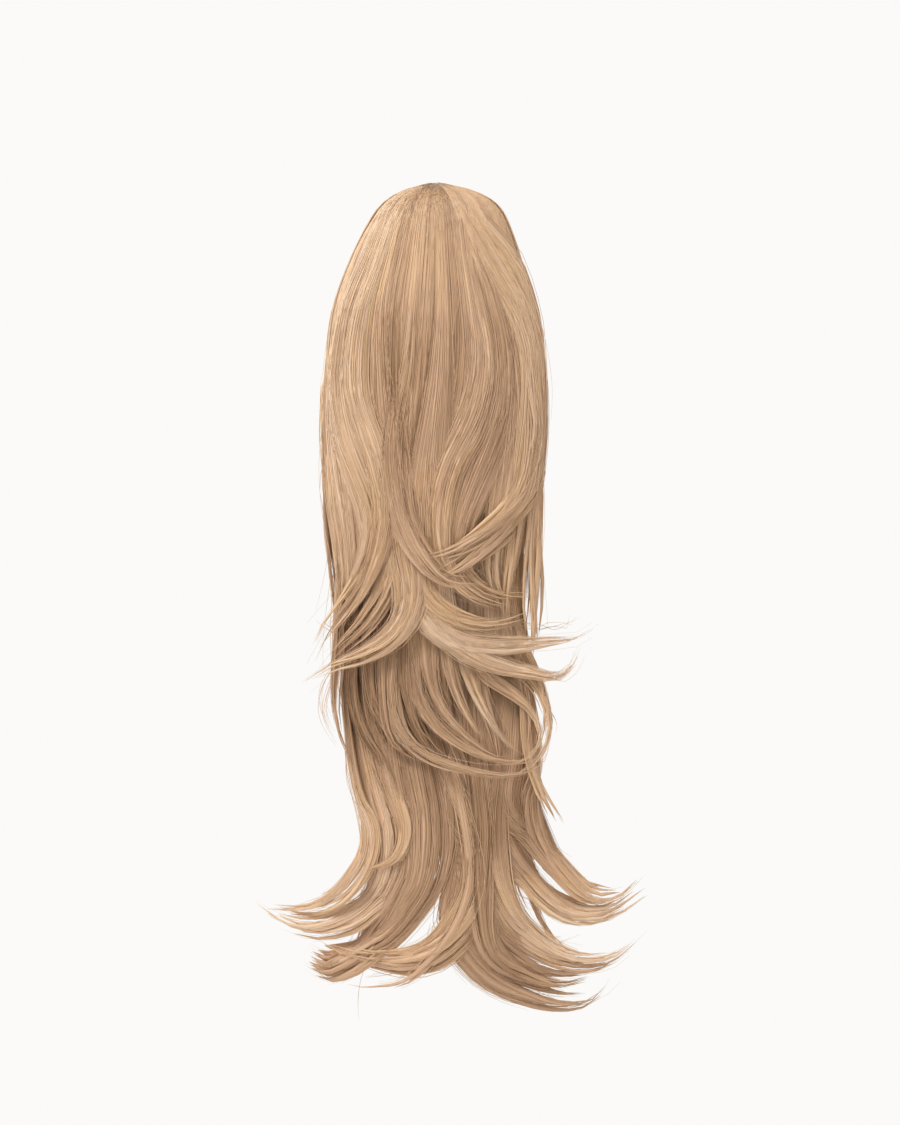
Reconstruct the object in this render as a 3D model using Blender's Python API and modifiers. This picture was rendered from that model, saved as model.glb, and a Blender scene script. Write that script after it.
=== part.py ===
"""A layered ponytail hairpiece, hanging from its net cap.

A fabric net cap fits over a pinned-up bun, with its mouth at +Y, against the wearer's head, and a comb
inside its upper rim holds it. Three tiers of waved hair are sewn round the cap, one inside the other:
a short crown tier that fans from a whorl on top, a middle tier and a long tier. Every tier is a
backing with locks fused to it, and every lock ends in an upturned flick.

The origin is the middle of the cap's mouth, +Z is up and -Y faces the viewer. Lengths are metres.
"""

import math

import bmesh
import bpy
from mathutils import Vector

# The hair as it hangs
HAIR_DROP = 0.500
HALF_WIDTH = 0.069
HALF_DEPTH = 0.030
CROWN_Z = 0.041
HAIR_CENTRE_Y = -0.014

# The net cap and its hem
CAP_HALF_WIDTH = 0.038
CAP_HALF_HEIGHT = 0.032
CAP_DEPTH = 0.028
CAP_WALL = 0.0015
HEM_WIDTH = 0.0060
HEM_WALL = 0.0026

# The comb inside the upper rim
COMB_WIDTH = 0.038
COMB_THICKNESS = 0.0016
COMB_SETBACK = 0.0085
COMB_SPINE = 0.0050
TOOTH_LENGTH = 0.0150
TOOTH_WIDTH = 0.0013
TOOTH_PITCH = 0.0030

# The tiers, from the outermost in
CROWN_LOCK_THICKNESS = 0.0062
MIDDLE_LOCK_THICKNESS = 0.0052
LONG_LOCK_THICKNESS = 0.0100
BACKING_WALL = 0.0022
TIER_GAP = 0.0009
SEAT_GAP = 0.0003
SEWN_REACH = 0.010
LOCK_WIDTH = 0.020

# Where each tier's backing starts and ends, how far down its weft is sewn to the cap, and the step
# between the rows that all backings share so that they nest, as shares of HAIR_DROP
CROWN_ROOT = 0.002
CROWN_HEM = 0.455
MIDDLE_ROOT = 0.085
MIDDLE_HEM = 0.640
LONG_ROOT = 0.130
LONG_HEM = 0.800
WEFT_DROP = 0.020
BACKING_STEP = 0.060

# How finely the faceted forms are cut
CAP_STEPS = 32
CAP_RINGS = 8
CUTTER_STEPS = 40
BACKING_COLUMNS = 20
CROWN_RINGS = 11
MIDDLE_RINGS = 8
LONG_RINGS = 10
LOCK_SIDES = 6

# The outline of the hanging hair: each section's drop is a share of HAIR_DROP, its reach to the left
# and right a share of HALF_WIDTH and its depth a share of HALF_DEPTH. wrap is how far round from the
# front the two outer tiers reach, in degrees, so that they leave the cap's mouth open.
OUTLINE_COLUMNS = ("drop", "left", "right", "deep", "wrap")
OUTLINE = (
    (0.000, 0.05, 0.06, 0.12, 168),
    (0.006, 0.24, 0.28, 0.48, 160),
    (0.016, 0.41, 0.47, 0.68, 140),
    (0.030, 0.52, 0.61, 0.80, 126),
    (0.052, 0.62, 0.69, 0.88, 117),
    (0.085, 0.74, 0.77, 0.94, 112),
    (0.125, 0.86, 0.85, 0.97, 112),
    (0.173, 0.95, 0.92, 1.00, 120),
    (0.250, 1.01, 0.98, 1.00, 138),
    (0.390, 1.00, 0.98, 0.98, 156),
    (0.470, 0.95, 0.97, 0.95, 168),
    (0.550, 0.90, 0.94, 0.90, 172),
    (0.630, 0.88, 0.93, 0.86, 172),
    (0.700, 0.80, 0.91, 0.82, 172),
    (0.760, 0.68, 0.88, 0.80, 172),
    (0.820, 0.60, 0.87, 0.80, 172),
    (1.000, 0.58, 0.85, 0.90, 172),
)

# How far each tier lies inside that outline, as a share of the tier's place in the stack: 1 where an
# outer tier covers it and less where it comes out below that tier's hem
EMERGE_COLUMNS = ("drop", "middle", "long")
EMERGE = (
    (0.00, 1.00, 1.00),
    (0.50, 1.00, 1.00),
    (0.57, 0.66, 0.94),
    (0.64, 0.40, 0.74),
    (0.74, 0.32, 0.46),
    (0.82, 0.30, 0.30),
    (1.00, 0.30, 0.24),
)

# Locks. side is -1 for the front and 1 for the back. The x columns up to hem are shares of the
# outline's own reach at that level, and turn and tip are shares of HALF_WIDTH; the drops are shares of
# HAIR_DROP. width is a share of LOCK_WIDTH. stand is how far the flick stands off the hair under it,
# as a share of LOCK_WIDTH.
LOCK_COLUMNS = (
    "side", "shoulder", "chest", "belly", "waist", "hem",
    "turn", "turn_drop", "tip", "tip_drop", "width", "stand",
)
CROWN_LEVELS = (0.000, 0.045, 0.110, 0.190, 0.280, 0.375, 0.455)
CROWN_LOCKS = (
    (-1, -0.93, -0.91, -0.90, -0.87, -0.85, -0.93, 0.555, -1.05, 0.592, 0.95, 0.30),
    (-1, -0.70, -0.68, -0.66, -0.47, -0.36, -0.66, 0.550, -1.00, 0.585, 1.05, 0.42),
    (-1, -0.47, -0.45, -0.45, -0.32, -0.20, -0.50, 0.572, -1.27, 0.619, 1.10, 0.55),
    (-1, -0.26, -0.25, -0.25, -0.23, -0.12, 0.22, 0.502, 0.57, 0.484, 0.85, 0.30),
    (-1, -0.06, -0.06, -0.05, -0.06, -0.08, 0.40, 0.568, 1.31, 0.553, 1.05, 0.62),
    (-1, 0.14, 0.14, 0.14, 0.11, 0.08, 0.48, 0.536, 0.90, 0.518, 0.95, 0.42),
    (-1, 0.33, 0.33, 0.32, 0.24, 0.10, 0.60, 0.590, 1.20, 0.560, 0.85, 0.42),
    (-1, 0.53, 0.54, 0.57, 0.54, 0.30, 0.13, 0.482, -0.02, 0.478, 0.95, 0.32),
    (-1, 0.73, 0.75, 0.80, 0.80, 0.42, 0.10, 0.494, -0.10, 0.512, 1.00, 0.62),
    (-1, 0.91, 0.93, 0.94, 0.95, 0.93, 0.93, 0.520, 0.96, 0.585, 0.80, 0.32),
    (1, -0.96, -0.94, -0.90, -0.82, -0.78, -0.92, 0.540, -1.16, 0.560, 0.95, 0.30),
    (1, 0.96, 0.95, 0.90, 0.82, 0.76, 0.90, 0.545, 1.12, 0.575, 0.95, 0.30),
)
MIDDLE_LEVELS = (0.400, 0.440, 0.480, 0.520, 0.560, 0.600, 0.640)
MIDDLE_LOCKS = (
    (-1, -0.88, -0.88, -0.88, -0.88, -0.88, -0.90, 0.690, -0.86, 0.735, 0.95, 0.10),
    (-1, -0.62, -0.60, -0.58, -0.55, -0.50, -0.38, 0.700, -0.30, 0.755, 1.05, 0.05),
    (-1, -0.34, -0.34, -0.34, -0.30, -0.18, 0.48, 0.722, 0.99, 0.672, 0.95, 0.62),
    (-1, -0.08, -0.06, -0.02, 0.06, 0.16, 0.55, 0.700, 0.78, 0.716, 0.85, 0.30),
    (-1, 0.18, 0.20, 0.26, 0.36, 0.48, 0.84, 0.676, 0.72, 0.712, 0.85, 0.50),
    (-1, 0.48, 0.50, 0.54, 0.60, 0.68, 0.82, 0.730, 1.05, 0.778, 0.75, 0.20),
    (-1, 0.80, 0.84, 0.88, 0.90, 0.92, 0.96, 0.690, 0.86, 0.728, 0.85, 0.15),
    (1, 0.84, 0.84, 0.82, 0.80, 0.80, 0.92, 0.720, 1.10, 0.745, 0.95, 0.30),
    (1, 0.50, 0.50, 0.48, 0.46, 0.44, 0.34, 0.715, 0.10, 0.740, 1.05, 0.45),
    (1, 0.14, 0.14, 0.14, 0.12, 0.10, -0.10, 0.730, -0.44, 0.738, 1.05, 0.45),
    (1, -0.24, -0.24, -0.24, -0.24, -0.26, -0.40, 0.720, -0.72, 0.730, 1.05, 0.40),
    (1, -0.62, -0.62, -0.62, -0.62, -0.64, -0.80, 0.700, -1.06, 0.720, 1.05, 0.35),
)
LONG_LEVELS = (0.560, 0.620, 0.670, 0.710, 0.750, 0.790, 0.825)
LONG_LOCKS = (
    (-1, -0.86, -0.86, -0.86, -0.86, -0.86, -0.86, 0.885, -1.50, 0.888, 1.30, 0.20),
    (-1, -0.52, -0.52, -0.52, -0.50, -0.44, -0.42, 0.918, -1.05, 0.945, 1.30, -0.10),
    (-1, -0.20, -0.16, -0.10, 0.00, 0.10, -0.08, 0.935, -1.02, 0.930, 1.15, 0.45),
    (-1, 0.14, 0.18, 0.20, 0.22, 0.24, 0.62, 0.984, 1.50, 0.968, 1.15, 0.10),
    (-1, 0.40, 0.42, 0.44, 0.46, 0.48, 0.80, 0.950, 1.72, 0.932, 1.25, 0.25),
    (-1, 0.68, 0.68, 0.66, 0.64, 0.64, 1.02, 0.890, 1.82, 0.862, 1.25, 0.35),
    (-1, 0.90, 0.88, 0.84, 0.80, 0.78, 1.10, 0.858, 1.50, 0.855, 0.80, 0.10),
    (1, 0.76, 0.76, 0.74, 0.72, 0.70, 0.86, 0.890, 1.30, 0.900, 1.20, 0.30),
    (1, 0.36, 0.36, 0.36, 0.36, 0.36, 0.44, 0.930, 0.86, 0.955, 1.25, 0.45),
    (1, -0.04, -0.04, -0.04, -0.04, -0.06, -0.14, 0.940, -0.34, 0.985, 1.25, 0.45),
    (1, -0.44, -0.44, -0.44, -0.44, -0.44, -0.50, 0.920, -0.86, 0.960, 1.25, 0.40),
    (1, -0.82, -0.82, -0.82, -0.82, -0.80, -0.80, 0.880, -1.22, 0.905, 1.20, 0.30),
)

# A lock's width and thickness at its root, at the seven levels and at its turn and tip
LOCK_SWELL = (0.34, 0.62, 0.90, 1.00, 1.00, 1.00, 0.92, 0.66, 0.10)
BURIED_SWELL = (0.80, 0.95, 1.00, 1.00, 1.00, 1.00, 0.95, 0.68, 0.10)
# How closely its flat section follows the curve of the hair under it, at the same places
LOCK_HUG = (1.0, 1.0, 1.0, 1.0, 1.0, 1.0, 0.8, 0.3, 0.0)
# A flick that reaches past the outline stays this far forward or back, as the sine of its angle
FLICK_SINE = 0.85

HAIR_COLOUR = (0.60, 0.42, 0.25, 1.0)
UNDER_COLOUR = (0.46, 0.31, 0.18, 1.0)
NET_COLOUR = (0.55, 0.40, 0.28, 1.0)
COMB_COLOUR = (0.80, 0.72, 0.60, 1.0)


def rows_of(columns, table):
    return [dict(zip(columns, row)) for row in table]


def read_table(rows, column, drop):
    """The value of a column at a drop, along straight lines between the table's rows."""
    before = rows[0]
    for after in rows[1:]:
        if drop <= after["drop"]:
            span = after["drop"] - before["drop"]
            share = max(0.0, (drop - before["drop"]) / span)
            return before[column] + share * (after[column] - before[column])
        before = after
    return before[column]


OUTLINE_ROWS = rows_of(OUTLINE_COLUMNS, OUTLINE)
EMERGE_ROWS = rows_of(EMERGE_COLUMNS, EMERGE)

# Where the middle of each tier's locks lies inside the outline
CROWN_INSET = CROWN_LOCK_THICKNESS / 2
MIDDLE_INSET = CROWN_LOCK_THICKNESS + TIER_GAP + MIDDLE_LOCK_THICKNESS / 2
LONG_INSET = CROWN_LOCK_THICKNESS + MIDDLE_LOCK_THICKNESS + 2 * TIER_GAP


def crown_inset(drop):
    return CROWN_INSET


def middle_inset(drop):
    return MIDDLE_INSET * read_table(EMERGE_ROWS, "middle", drop)


def long_inset(drop):
    return LONG_INSET * read_table(EMERGE_ROWS, "long", drop)


def height(drop):
    return CROWN_Z - drop * HAIR_DROP


def reach(drop, share_of_side):
    """How far the outline reaches to that side at a drop."""
    column = "left" if share_of_side < 0 else "right"
    return HALF_WIDTH * read_table(OUTLINE_ROWS, column, drop)


def depth(drop):
    return HALF_DEPTH * read_table(OUTLINE_ROWS, "deep", drop)


def on_outline(angle, drop, inset):
    """The point at an angle round from the front, an inset inside the outline."""
    across = max(reach(drop, math.sin(angle)) - inset, 0.0015)
    along = max(depth(drop) - inset, 0.0015)
    return Vector((across * math.sin(angle), HAIR_CENTRE_Y - along * math.cos(angle), height(drop)))


def lock_point(side, x, drop, inset, most_sine):
    """The point at x on the front or back of the hair, the way out there and how sharply the hair curves round."""
    across = max(reach(drop, x) - inset, 0.0015)
    along = max(depth(drop) - inset, 0.0015)
    sine = max(-most_sine, min(most_sine, x / across))
    cosine = math.sqrt(1.0 - sine * sine)
    point = Vector((x, HAIR_CENTRE_Y + side * along * cosine, height(drop)))
    outward = Vector((sine * along, side * cosine * across, 0.0)).normalized()
    curving = across * along / math.hypot(across * cosine, along * sine) ** 3
    return point, outward, curving


def smooth_path(points, count):
    """Points at even steps along a smooth curve through the given ones."""
    ends = [2 * points[0] - points[1], *points, 2 * points[-1] - points[-2]]
    fine = []
    for a, b, c, d in zip(ends, ends[1:], ends[2:], ends[3:]):
        for step in range(12):
            t = step / 12
            fine.append(
                0.5 * (2 * b + (c - a) * t + (2 * a - 5 * b + 4 * c - d) * t**2 + (3 * b - a - 3 * c + d) * t**3)
            )
    fine.append(points[-1])
    run = [0.0]
    for a, b in zip(fine, fine[1:]):
        run.append(run[-1] + (b - a).length)
    spaced, at = [], 0
    for step in range(count):
        wanted = run[-1] * step / (count - 1)
        while at < len(run) - 2 and run[at + 1] < wanted:
            at += 1
        share = (wanted - run[at]) / (run[at + 1] - run[at])
        spaced.append(fine[at].lerp(fine[at + 1], min(share, 1.0)))
    return spaced


def new_object(name, bm, collection):
    bmesh.ops.recalc_face_normals(bm, faces=bm.faces)
    mesh = bpy.data.meshes.new(name)
    bm.to_mesh(mesh)
    bm.free()
    made = bpy.data.objects.new(name, mesh)
    collection.objects.link(made)
    return made


def loft(name, rings, collection):
    """A closed solid through rings of equally many points, fanned shut at both ends."""
    bm = bmesh.new()
    levels = [[bm.verts.new(point) for point in ring] for ring in rings]
    count = len(rings[0])
    for low, high in zip(levels, levels[1:]):
        for i in range(count):
            j = (i + 1) % count
            bm.faces.new((low[i], low[j], high[j], high[i]))
    for level in (levels[0], levels[-1]):
        middle = bm.verts.new(sum((v.co for v in level), Vector()) / count)
        for i in range(count):
            bm.faces.new((level[i], level[(i + 1) % count], middle))
    return new_object(name, bm, collection)


def shell(name, outer, inner, collection):
    """A closed wall between two open sheets of points with equally many rows and columns."""
    bm = bmesh.new()
    sheets = [[[bm.verts.new(point) for point in row] for row in sheet] for sheet in (outer, inner)]
    rows, columns = len(outer), len(outer[0])
    for sheet in sheets:
        for r in range(rows - 1):
            for c in range(columns - 1):
                bm.faces.new((sheet[r][c], sheet[r][c + 1], sheet[r + 1][c + 1], sheet[r + 1][c]))
    rim = [(0, c) for c in range(columns)] + [(r, columns - 1) for r in range(1, rows)]
    rim += [(rows - 1, c) for c in range(columns - 2, -1, -1)] + [(r, 0) for r in range(rows - 2, 0, -1)]
    for (r, c), (s, d) in zip(rim, rim[1:] + rim[:1]):
        bm.faces.new((sheets[0][r][c], sheets[0][s][d], sheets[1][s][d], sheets[1][r][c]))
    return new_object(name, bm, collection)


def lock(name, row, levels, inset_at, thickness, swell, ring_count, collection):
    """One flat tapering lock that follows the hair, then swings out to its turn and flicks to its tip."""
    shares = [row[c] for c in ("shoulder", "shoulder", "shoulder", "chest", "belly", "waist", "hem")]
    stand = row["stand"] * LOCK_WIDTH
    stations = [
        (share * (reach(drop, share) - inset_at(drop)), drop, 0.0, 1.0) for share, drop in zip(shares, levels)
    ]
    stations[-1] = (*stations[-1][:2], 0.25 * stand, 1.0)
    stations.append((row["turn"] * HALF_WIDTH, row["turn_drop"], stand, FLICK_SINE))
    stations.append((row["tip"] * HALF_WIDTH, row["tip_drop"], 1.2 * stand, FLICK_SINE))
    points, facing, curving = [], [], []
    for (x, drop, off, most_sine), hugging in zip(stations, LOCK_HUG):
        point, outward, curve = lock_point(row["side"], x, drop, inset_at(drop), most_sine)
        points.append(point + Vector((0.0, row["side"] * off, 0.0)))
        facing.append(outward)
        curving.append(curve * hugging)
    path = smooth_path(points, ring_count)
    lengths = [0.0]
    for a, b in zip(points, points[1:]):
        lengths.append(lengths[-1] + (b - a).length)
    rings = []
    normal = None
    for i, point in enumerate(path):
        ahead, behind = path[min(i + 1, len(path) - 1)], path[max(i - 1, 0)]
        tangent = (ahead - behind).normalized()
        at = lengths[-1] * i / (len(path) - 1)
        k = max(n for n in range(len(lengths) - 1) if lengths[n] <= at + 1e-9)
        share = min(1.0, (at - lengths[k]) / (lengths[k + 1] - lengths[k]))
        outward = facing[k].lerp(facing[k + 1], share)
        held = outward - tangent * outward.dot(tangent)
        carried = held if normal is None else normal - tangent * normal.dot(tangent)
        trust = max(0.0, 1.0 - 2.0 * abs(outward.dot(tangent)))
        normal = (held.normalized() * trust + carried.normalized() * (1.0 - trust)).normalized()
        across = normal.cross(tangent)
        size = swell[k] + share * (swell[k + 1] - swell[k])
        half_width = 0.5 * LOCK_WIDTH * row["width"] * size
        half_thick = 0.5 * thickness * (0.35 + 0.65 * size)
        curve = curving[k] + share * (curving[k + 1] - curving[k])
        ring = []
        for n in range(LOCK_SIDES):
            turn = 2 * math.pi * n / LOCK_SIDES
            aside = half_width * math.cos(turn)
            # The lock's edges bend round with the hair that it lies on.
            sag = min(0.5 * curve * aside * aside, 0.7 * abs(aside))
            ring.append(point + across * aside + normal * (half_thick * math.sin(turn) - sag))
        rings.append(ring)
    return loft(name, rings, collection)


def drops_between(first, last, count):
    return [first + (last - first) * i / (count - 1) for i in range(count)]


def backing_drops(root, hem):
    """A backing's rows: its root, its hem and the steps that all backings share in between."""
    steps = [n * BACKING_STEP for n in range(int(1 / BACKING_STEP))]
    margin = 0.2 * BACKING_STEP
    return [root, *(drop for drop in steps if root + margin < drop < hem - margin), hem]


def band_sheet(drops, inset_at):
    """A sheet of points round the front and sides of the hair."""
    sheet = []
    for drop in drops:
        wrap = math.radians(read_table(OUTLINE_ROWS, "wrap", drop))
        angles = [wrap * (2 * c / BACKING_COLUMNS - 1) for c in range(BACKING_COLUMNS + 1)]
        sheet.append([on_outline(angle, drop, inset_at(drop)) for angle in angles])
    return sheet


def fuse(target, tools):
    """Joins every lock of a collection to the backing as one body."""
    join = target.modifiers.new("fuse_locks", "BOOLEAN")
    join.operation = "UNION"
    join.operand_type = "COLLECTION"
    join.collection = tools


def cut_seat(target, cutter):
    """Seats the hair on the outside of the cap and keeps the cap's mouth open."""
    cut = target.modifiers.new("seat_on_cap", "BOOLEAN")
    cut.operation = "DIFFERENCE"
    cut.object = cutter


def as_one_body(made, target):
    """The fused and cut tier as a plain mesh, without the sealed pockets between its locks or the crumbs of the cut."""
    graph = bpy.context.evaluated_depsgraph_get()
    mesh = bpy.data.meshes.new_from_object(made.evaluated_get(graph))
    bm = bmesh.new()
    bm.from_mesh(mesh)
    bmesh.ops.triangulate(bm, faces=bm.faces)
    islands, seen = [], set()
    for seed in bm.faces:
        if seed in seen:
            continue
        island, front = [], [seed]
        seen.add(seed)
        while front:
            face = front.pop()
            island.append(face)
            for edge in face.edges:
                for other in edge.link_faces:
                    if other not in seen:
                        seen.add(other)
                        front.append(other)
        corners = [[loop.vert.co for loop in face.loops] for face in island]
        islands.append((sum(a.dot(b.cross(c)) for a, b, c in corners) / 6, island))
    body = max(islands, key=lambda found: found[0])
    extra = [face for _, island in islands if island is not body[1] for face in island]
    bmesh.ops.delete(bm, geom=extra, context="FACES")
    bm.to_mesh(mesh)
    bm.free()
    name = made.name
    bpy.data.objects.remove(made)
    kept = bpy.data.objects.new(name, mesh)
    kept.name = name
    target.objects.link(kept)
    return kept


def material(name, colour, roughness):
    made = bpy.data.materials.new(name)
    made.use_nodes = True
    shader = made.node_tree.nodes["Principled BSDF"]
    shader.inputs["Base Color"].default_value = colour
    shader.inputs["Roughness"].default_value = roughness
    shader.inputs["Metallic"].default_value = 0.0
    return made


def collection(name, parent, helper=False):
    made = bpy.data.collections.new(name)
    parent.children.link(made)
    made.hide_render = helper
    return made


def cap_profile(grow):
    """The cap's edge in its (radius, y) half-plane, from the crown to the mouth, grown by a wall or a gap."""
    arc = [math.pi / 2 * n / CAP_RINGS for n in range(CAP_RINGS + 1)]
    return [((CAP_HALF_WIDTH + grow) * math.sin(a), -(CAP_DEPTH + grow) * math.cos(a)) for a in arc]


def turned(name, profile, steps, target):
    """A profile of (radius, y) turned about the Y axis, then drawn in to the cap's oval."""
    mesh = bpy.data.meshes.new(name)
    edges = [(n, n + 1) for n in range(len(profile) - 1)]
    mesh.from_pydata([(radius, y, 0.0) for radius, y in reversed(profile)], edges, [])
    made = bpy.data.objects.new(name, mesh)
    target.objects.link(made)
    spin = made.modifiers.new("turn", "SCREW")
    spin.axis = "Y"
    spin.steps = steps
    spin.render_steps = steps
    spin.use_merge_vertices = True
    spin.merge_threshold = 0.00002
    made.scale = (1.0, 1.0, CAP_HALF_HEIGHT / CAP_HALF_WIDTH)
    return made


def net_cap(target):
    """An oval dome of net, with its edge turned in as a thicker hem."""
    outer = cap_profile(0.0)
    inner = cap_profile(-CAP_WALL)
    hem_start = -HEM_WIDTH
    kept = [point for point in inner if point[1] < hem_start]
    lip = [(CAP_HALF_WIDTH - HEM_WALL, 0.0), (CAP_HALF_WIDTH - HEM_WALL, hem_start)]
    return turned("net_cap", [*outer, *lip, *reversed(kept)], CAP_STEPS, target)


def seat_cutter(target):
    """The cap's outside and the way into its mouth, larger by the seat's gap."""
    dome = cap_profile(SEAT_GAP)
    way_out = 2 * HALF_DEPTH
    profile = [*dome, (CAP_HALF_WIDTH + SEAT_GAP, way_out), (0.0, way_out)]
    return turned("seat_cutter", profile, CUTTER_STEPS, target)


def comb(target):
    """A flat comb whose curved spine follows the inside of the cap's upper rim."""
    back = COMB_SETBACK + COMB_THICKNESS
    inside_width = CAP_HALF_WIDTH - CAP_WALL
    inside_height = inside_width * CAP_HALF_HEIGHT / CAP_HALF_WIDTH
    shrink = math.sqrt(1.0 - (back / (CAP_DEPTH - CAP_WALL)) ** 2)

    def roof(x):
        # The cap is cut into flat facets, which lie inside its round form.
        facet = math.cos(math.pi / CAP_STEPS) * math.cos(math.pi / 4 / CAP_RINGS)
        full = inside_height * shrink * facet
        return full * math.sqrt(1.0 - (x / (inside_width * shrink)) ** 2) - SEAT_GAP

    half = COMB_WIDTH / 2
    lower = roof(half) - COMB_SPINE
    teeth = int((COMB_WIDTH - TOOTH_WIDTH) / TOOTH_PITCH)
    first = -teeth * TOOTH_PITCH / 2
    outline = [(half * (1 - 2 * n / 12), roof(half * (1 - 2 * n / 12))) for n in range(13)]
    outline.append((-half, lower))
    for n in range(teeth + 1):
        middle = first + n * TOOTH_PITCH
        outline += [
            (middle - TOOTH_WIDTH / 2, lower),
            (middle - TOOTH_WIDTH / 3, lower - TOOTH_LENGTH),
            (middle + TOOTH_WIDTH / 3, lower - TOOTH_LENGTH),
            (middle + TOOTH_WIDTH / 2, lower),
        ]
    outline.append((half, lower))
    flat = bpy.data.curves.new("comb", "CURVE")
    flat.dimensions = "2D"
    flat.fill_mode = "BOTH"
    flat.extrude = COMB_THICKNESS / 2
    spline = flat.splines.new("POLY")
    spline.points.add(len(outline) - 1)
    for point, (x, z) in zip(spline.points, outline):
        point.co = (x, z, 0.0, 1.0)
    spline.use_cyclic_u = True
    made = bpy.data.objects.new("comb", flat)
    made.rotation_euler = (math.pi / 2, 0.0, 0.0)
    made.location = (0.0, -(COMB_SETBACK + COMB_THICKNESS / 2), 0.0)
    target.objects.link(made)
    return made


def outer_tier(name, table, levels, inset_at, thickness, swell, ring_count, drops, sewn_drops, homes):
    """A tier that leaves the mouth open: a backing with every lock of its table fused to it."""
    parts, helpers, cutter = homes

    def back_of(drop):
        # Over its first rows the backing reaches in to the cap, where its weft is sewn on.
        sewn = SEWN_REACH if drop in sewn_drops else 0.0
        return inset_at(drop) + thickness / 2 + sewn

    def front_of(drop):
        return inset_at(drop) + thickness / 2 - BACKING_WALL

    backing = shell(name, band_sheet(drops, front_of), band_sheet(drops, back_of), parts)
    tools = collection(name + "_locks", helpers, helper=True)
    for n, row in enumerate(rows_of(LOCK_COLUMNS, table)):
        made = lock(f"{name}_lock_{n}", row, levels, inset_at, thickness, swell, ring_count, tools)
        made.hide_render = True
        made.display_type = "WIRE"
    fuse(backing, tools)
    cut_seat(backing, cutter)
    return as_one_body(backing, parts)


def long_tier(homes):
    """The full-length hair under the cap: a closed core with every long lock fused to its lower end."""
    parts, helpers, cutter = homes
    drops = backing_drops(LONG_ROOT, LONG_HEM)
    turns = [2 * math.pi * n / BACKING_COLUMNS for n in range(BACKING_COLUMNS)]
    core_inset = LONG_LOCK_THICKNESS * 0.35
    rings = []
    for drop in drops:
        # Under the outer tiers the core fills their inside, and below their hems it lies under its own locks.
        shown = 1.0 - read_table(EMERGE_ROWS, "long", drop)
        rings.append([on_outline(turn, drop, long_inset(drop) + core_inset * min(1.0, 2 * shown)) for turn in turns])
    core = loft("long_tier", rings, parts)
    tools = collection("long_tier_locks", helpers, helper=True)

    def lock_inset(drop):
        return long_inset(drop) + LONG_LOCK_THICKNESS / 2

    for n, row in enumerate(rows_of(LOCK_COLUMNS, LONG_LOCKS)):
        made = lock(
            f"long_lock_{n}", row, LONG_LEVELS, lock_inset, LONG_LOCK_THICKNESS, BURIED_SWELL, LONG_RINGS, tools
        )
        made.hide_render = True
        made.display_type = "WIRE"
    fuse(core, tools)
    cut_seat(core, cutter)
    return as_one_body(core, parts)


def main():
    for old in list(bpy.data.objects):
        bpy.data.objects.remove(old)
    scene = bpy.context.scene.collection
    parts = collection("ponytail", scene)
    helpers = collection("helpers", scene, helper=True)
    cutter = seat_cutter(helpers)
    cutter.hide_render = True
    cutter.display_type = "WIRE"
    homes = (parts, helpers, cutter)

    crown_sewn = drops_between(CROWN_ROOT, MIDDLE_ROOT - WEFT_DROP, 4)
    crown_drops = crown_sewn + backing_drops(MIDDLE_ROOT - TIER_GAP / HAIR_DROP, CROWN_HEM)
    crown = outer_tier(
        "crown_tier", CROWN_LOCKS, CROWN_LEVELS, crown_inset, CROWN_LOCK_THICKNESS,
        LOCK_SWELL, CROWN_RINGS, crown_drops, crown_sewn, homes,
    )
    middle_sewn = drops_between(MIDDLE_ROOT, MIDDLE_ROOT + WEFT_DROP, 2)
    middle_drops = middle_sewn + backing_drops(LONG_ROOT - TIER_GAP / HAIR_DROP, MIDDLE_HEM)
    middle = outer_tier(
        "middle_tier", MIDDLE_LOCKS, MIDDLE_LEVELS, middle_inset, MIDDLE_LOCK_THICKNESS,
        BURIED_SWELL, MIDDLE_RINGS, middle_drops, middle_sewn, homes,
    )
    long = long_tier(homes)
    cap = net_cap(parts)
    teeth = comb(parts)

    crown.data.materials.append(material("crown_hair", HAIR_COLOUR, 0.45))
    middle.data.materials.append(material("middle_hair", HAIR_COLOUR, 0.48))
    long.data.materials.append(material("long_hair", UNDER_COLOUR, 0.50))
    cap.data.materials.append(material("cap_net", NET_COLOUR, 0.85))
    teeth.data.materials.append(material("comb_plastic", COMB_COLOUR, 0.30))


main()
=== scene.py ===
"""The looks of a layered ponytail hairpiece that hangs from its net cap. Lengths are metres."""

import math

import bpy
import numpy as np
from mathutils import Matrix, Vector


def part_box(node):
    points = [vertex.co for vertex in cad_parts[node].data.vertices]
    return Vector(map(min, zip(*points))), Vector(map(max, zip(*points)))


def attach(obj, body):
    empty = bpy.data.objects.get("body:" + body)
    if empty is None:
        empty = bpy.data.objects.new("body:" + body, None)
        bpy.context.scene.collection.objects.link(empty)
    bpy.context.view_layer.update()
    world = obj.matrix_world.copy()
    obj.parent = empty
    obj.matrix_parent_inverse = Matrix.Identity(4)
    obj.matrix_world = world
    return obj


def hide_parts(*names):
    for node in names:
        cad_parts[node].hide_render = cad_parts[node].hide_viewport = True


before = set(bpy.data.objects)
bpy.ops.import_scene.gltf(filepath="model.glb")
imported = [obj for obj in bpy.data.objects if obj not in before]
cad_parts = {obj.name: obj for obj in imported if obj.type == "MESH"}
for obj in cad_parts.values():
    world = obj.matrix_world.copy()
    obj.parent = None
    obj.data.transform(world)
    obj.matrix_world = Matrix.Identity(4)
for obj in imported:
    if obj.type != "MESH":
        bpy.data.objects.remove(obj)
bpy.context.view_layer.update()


# Hanging form
# The hair hangs as an oval bundle, widest at its belly and drawn in towards the ends. Every strand is
# laid on this form, so it is settled first, in shares of the drop, half width and half depth.
HAIR_DROP = 0.500
HALF_WIDTH = 0.069
HALF_DEPTH = 0.030
CROWN_Z = 0.041
CENTRE_Y = -0.014
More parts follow.
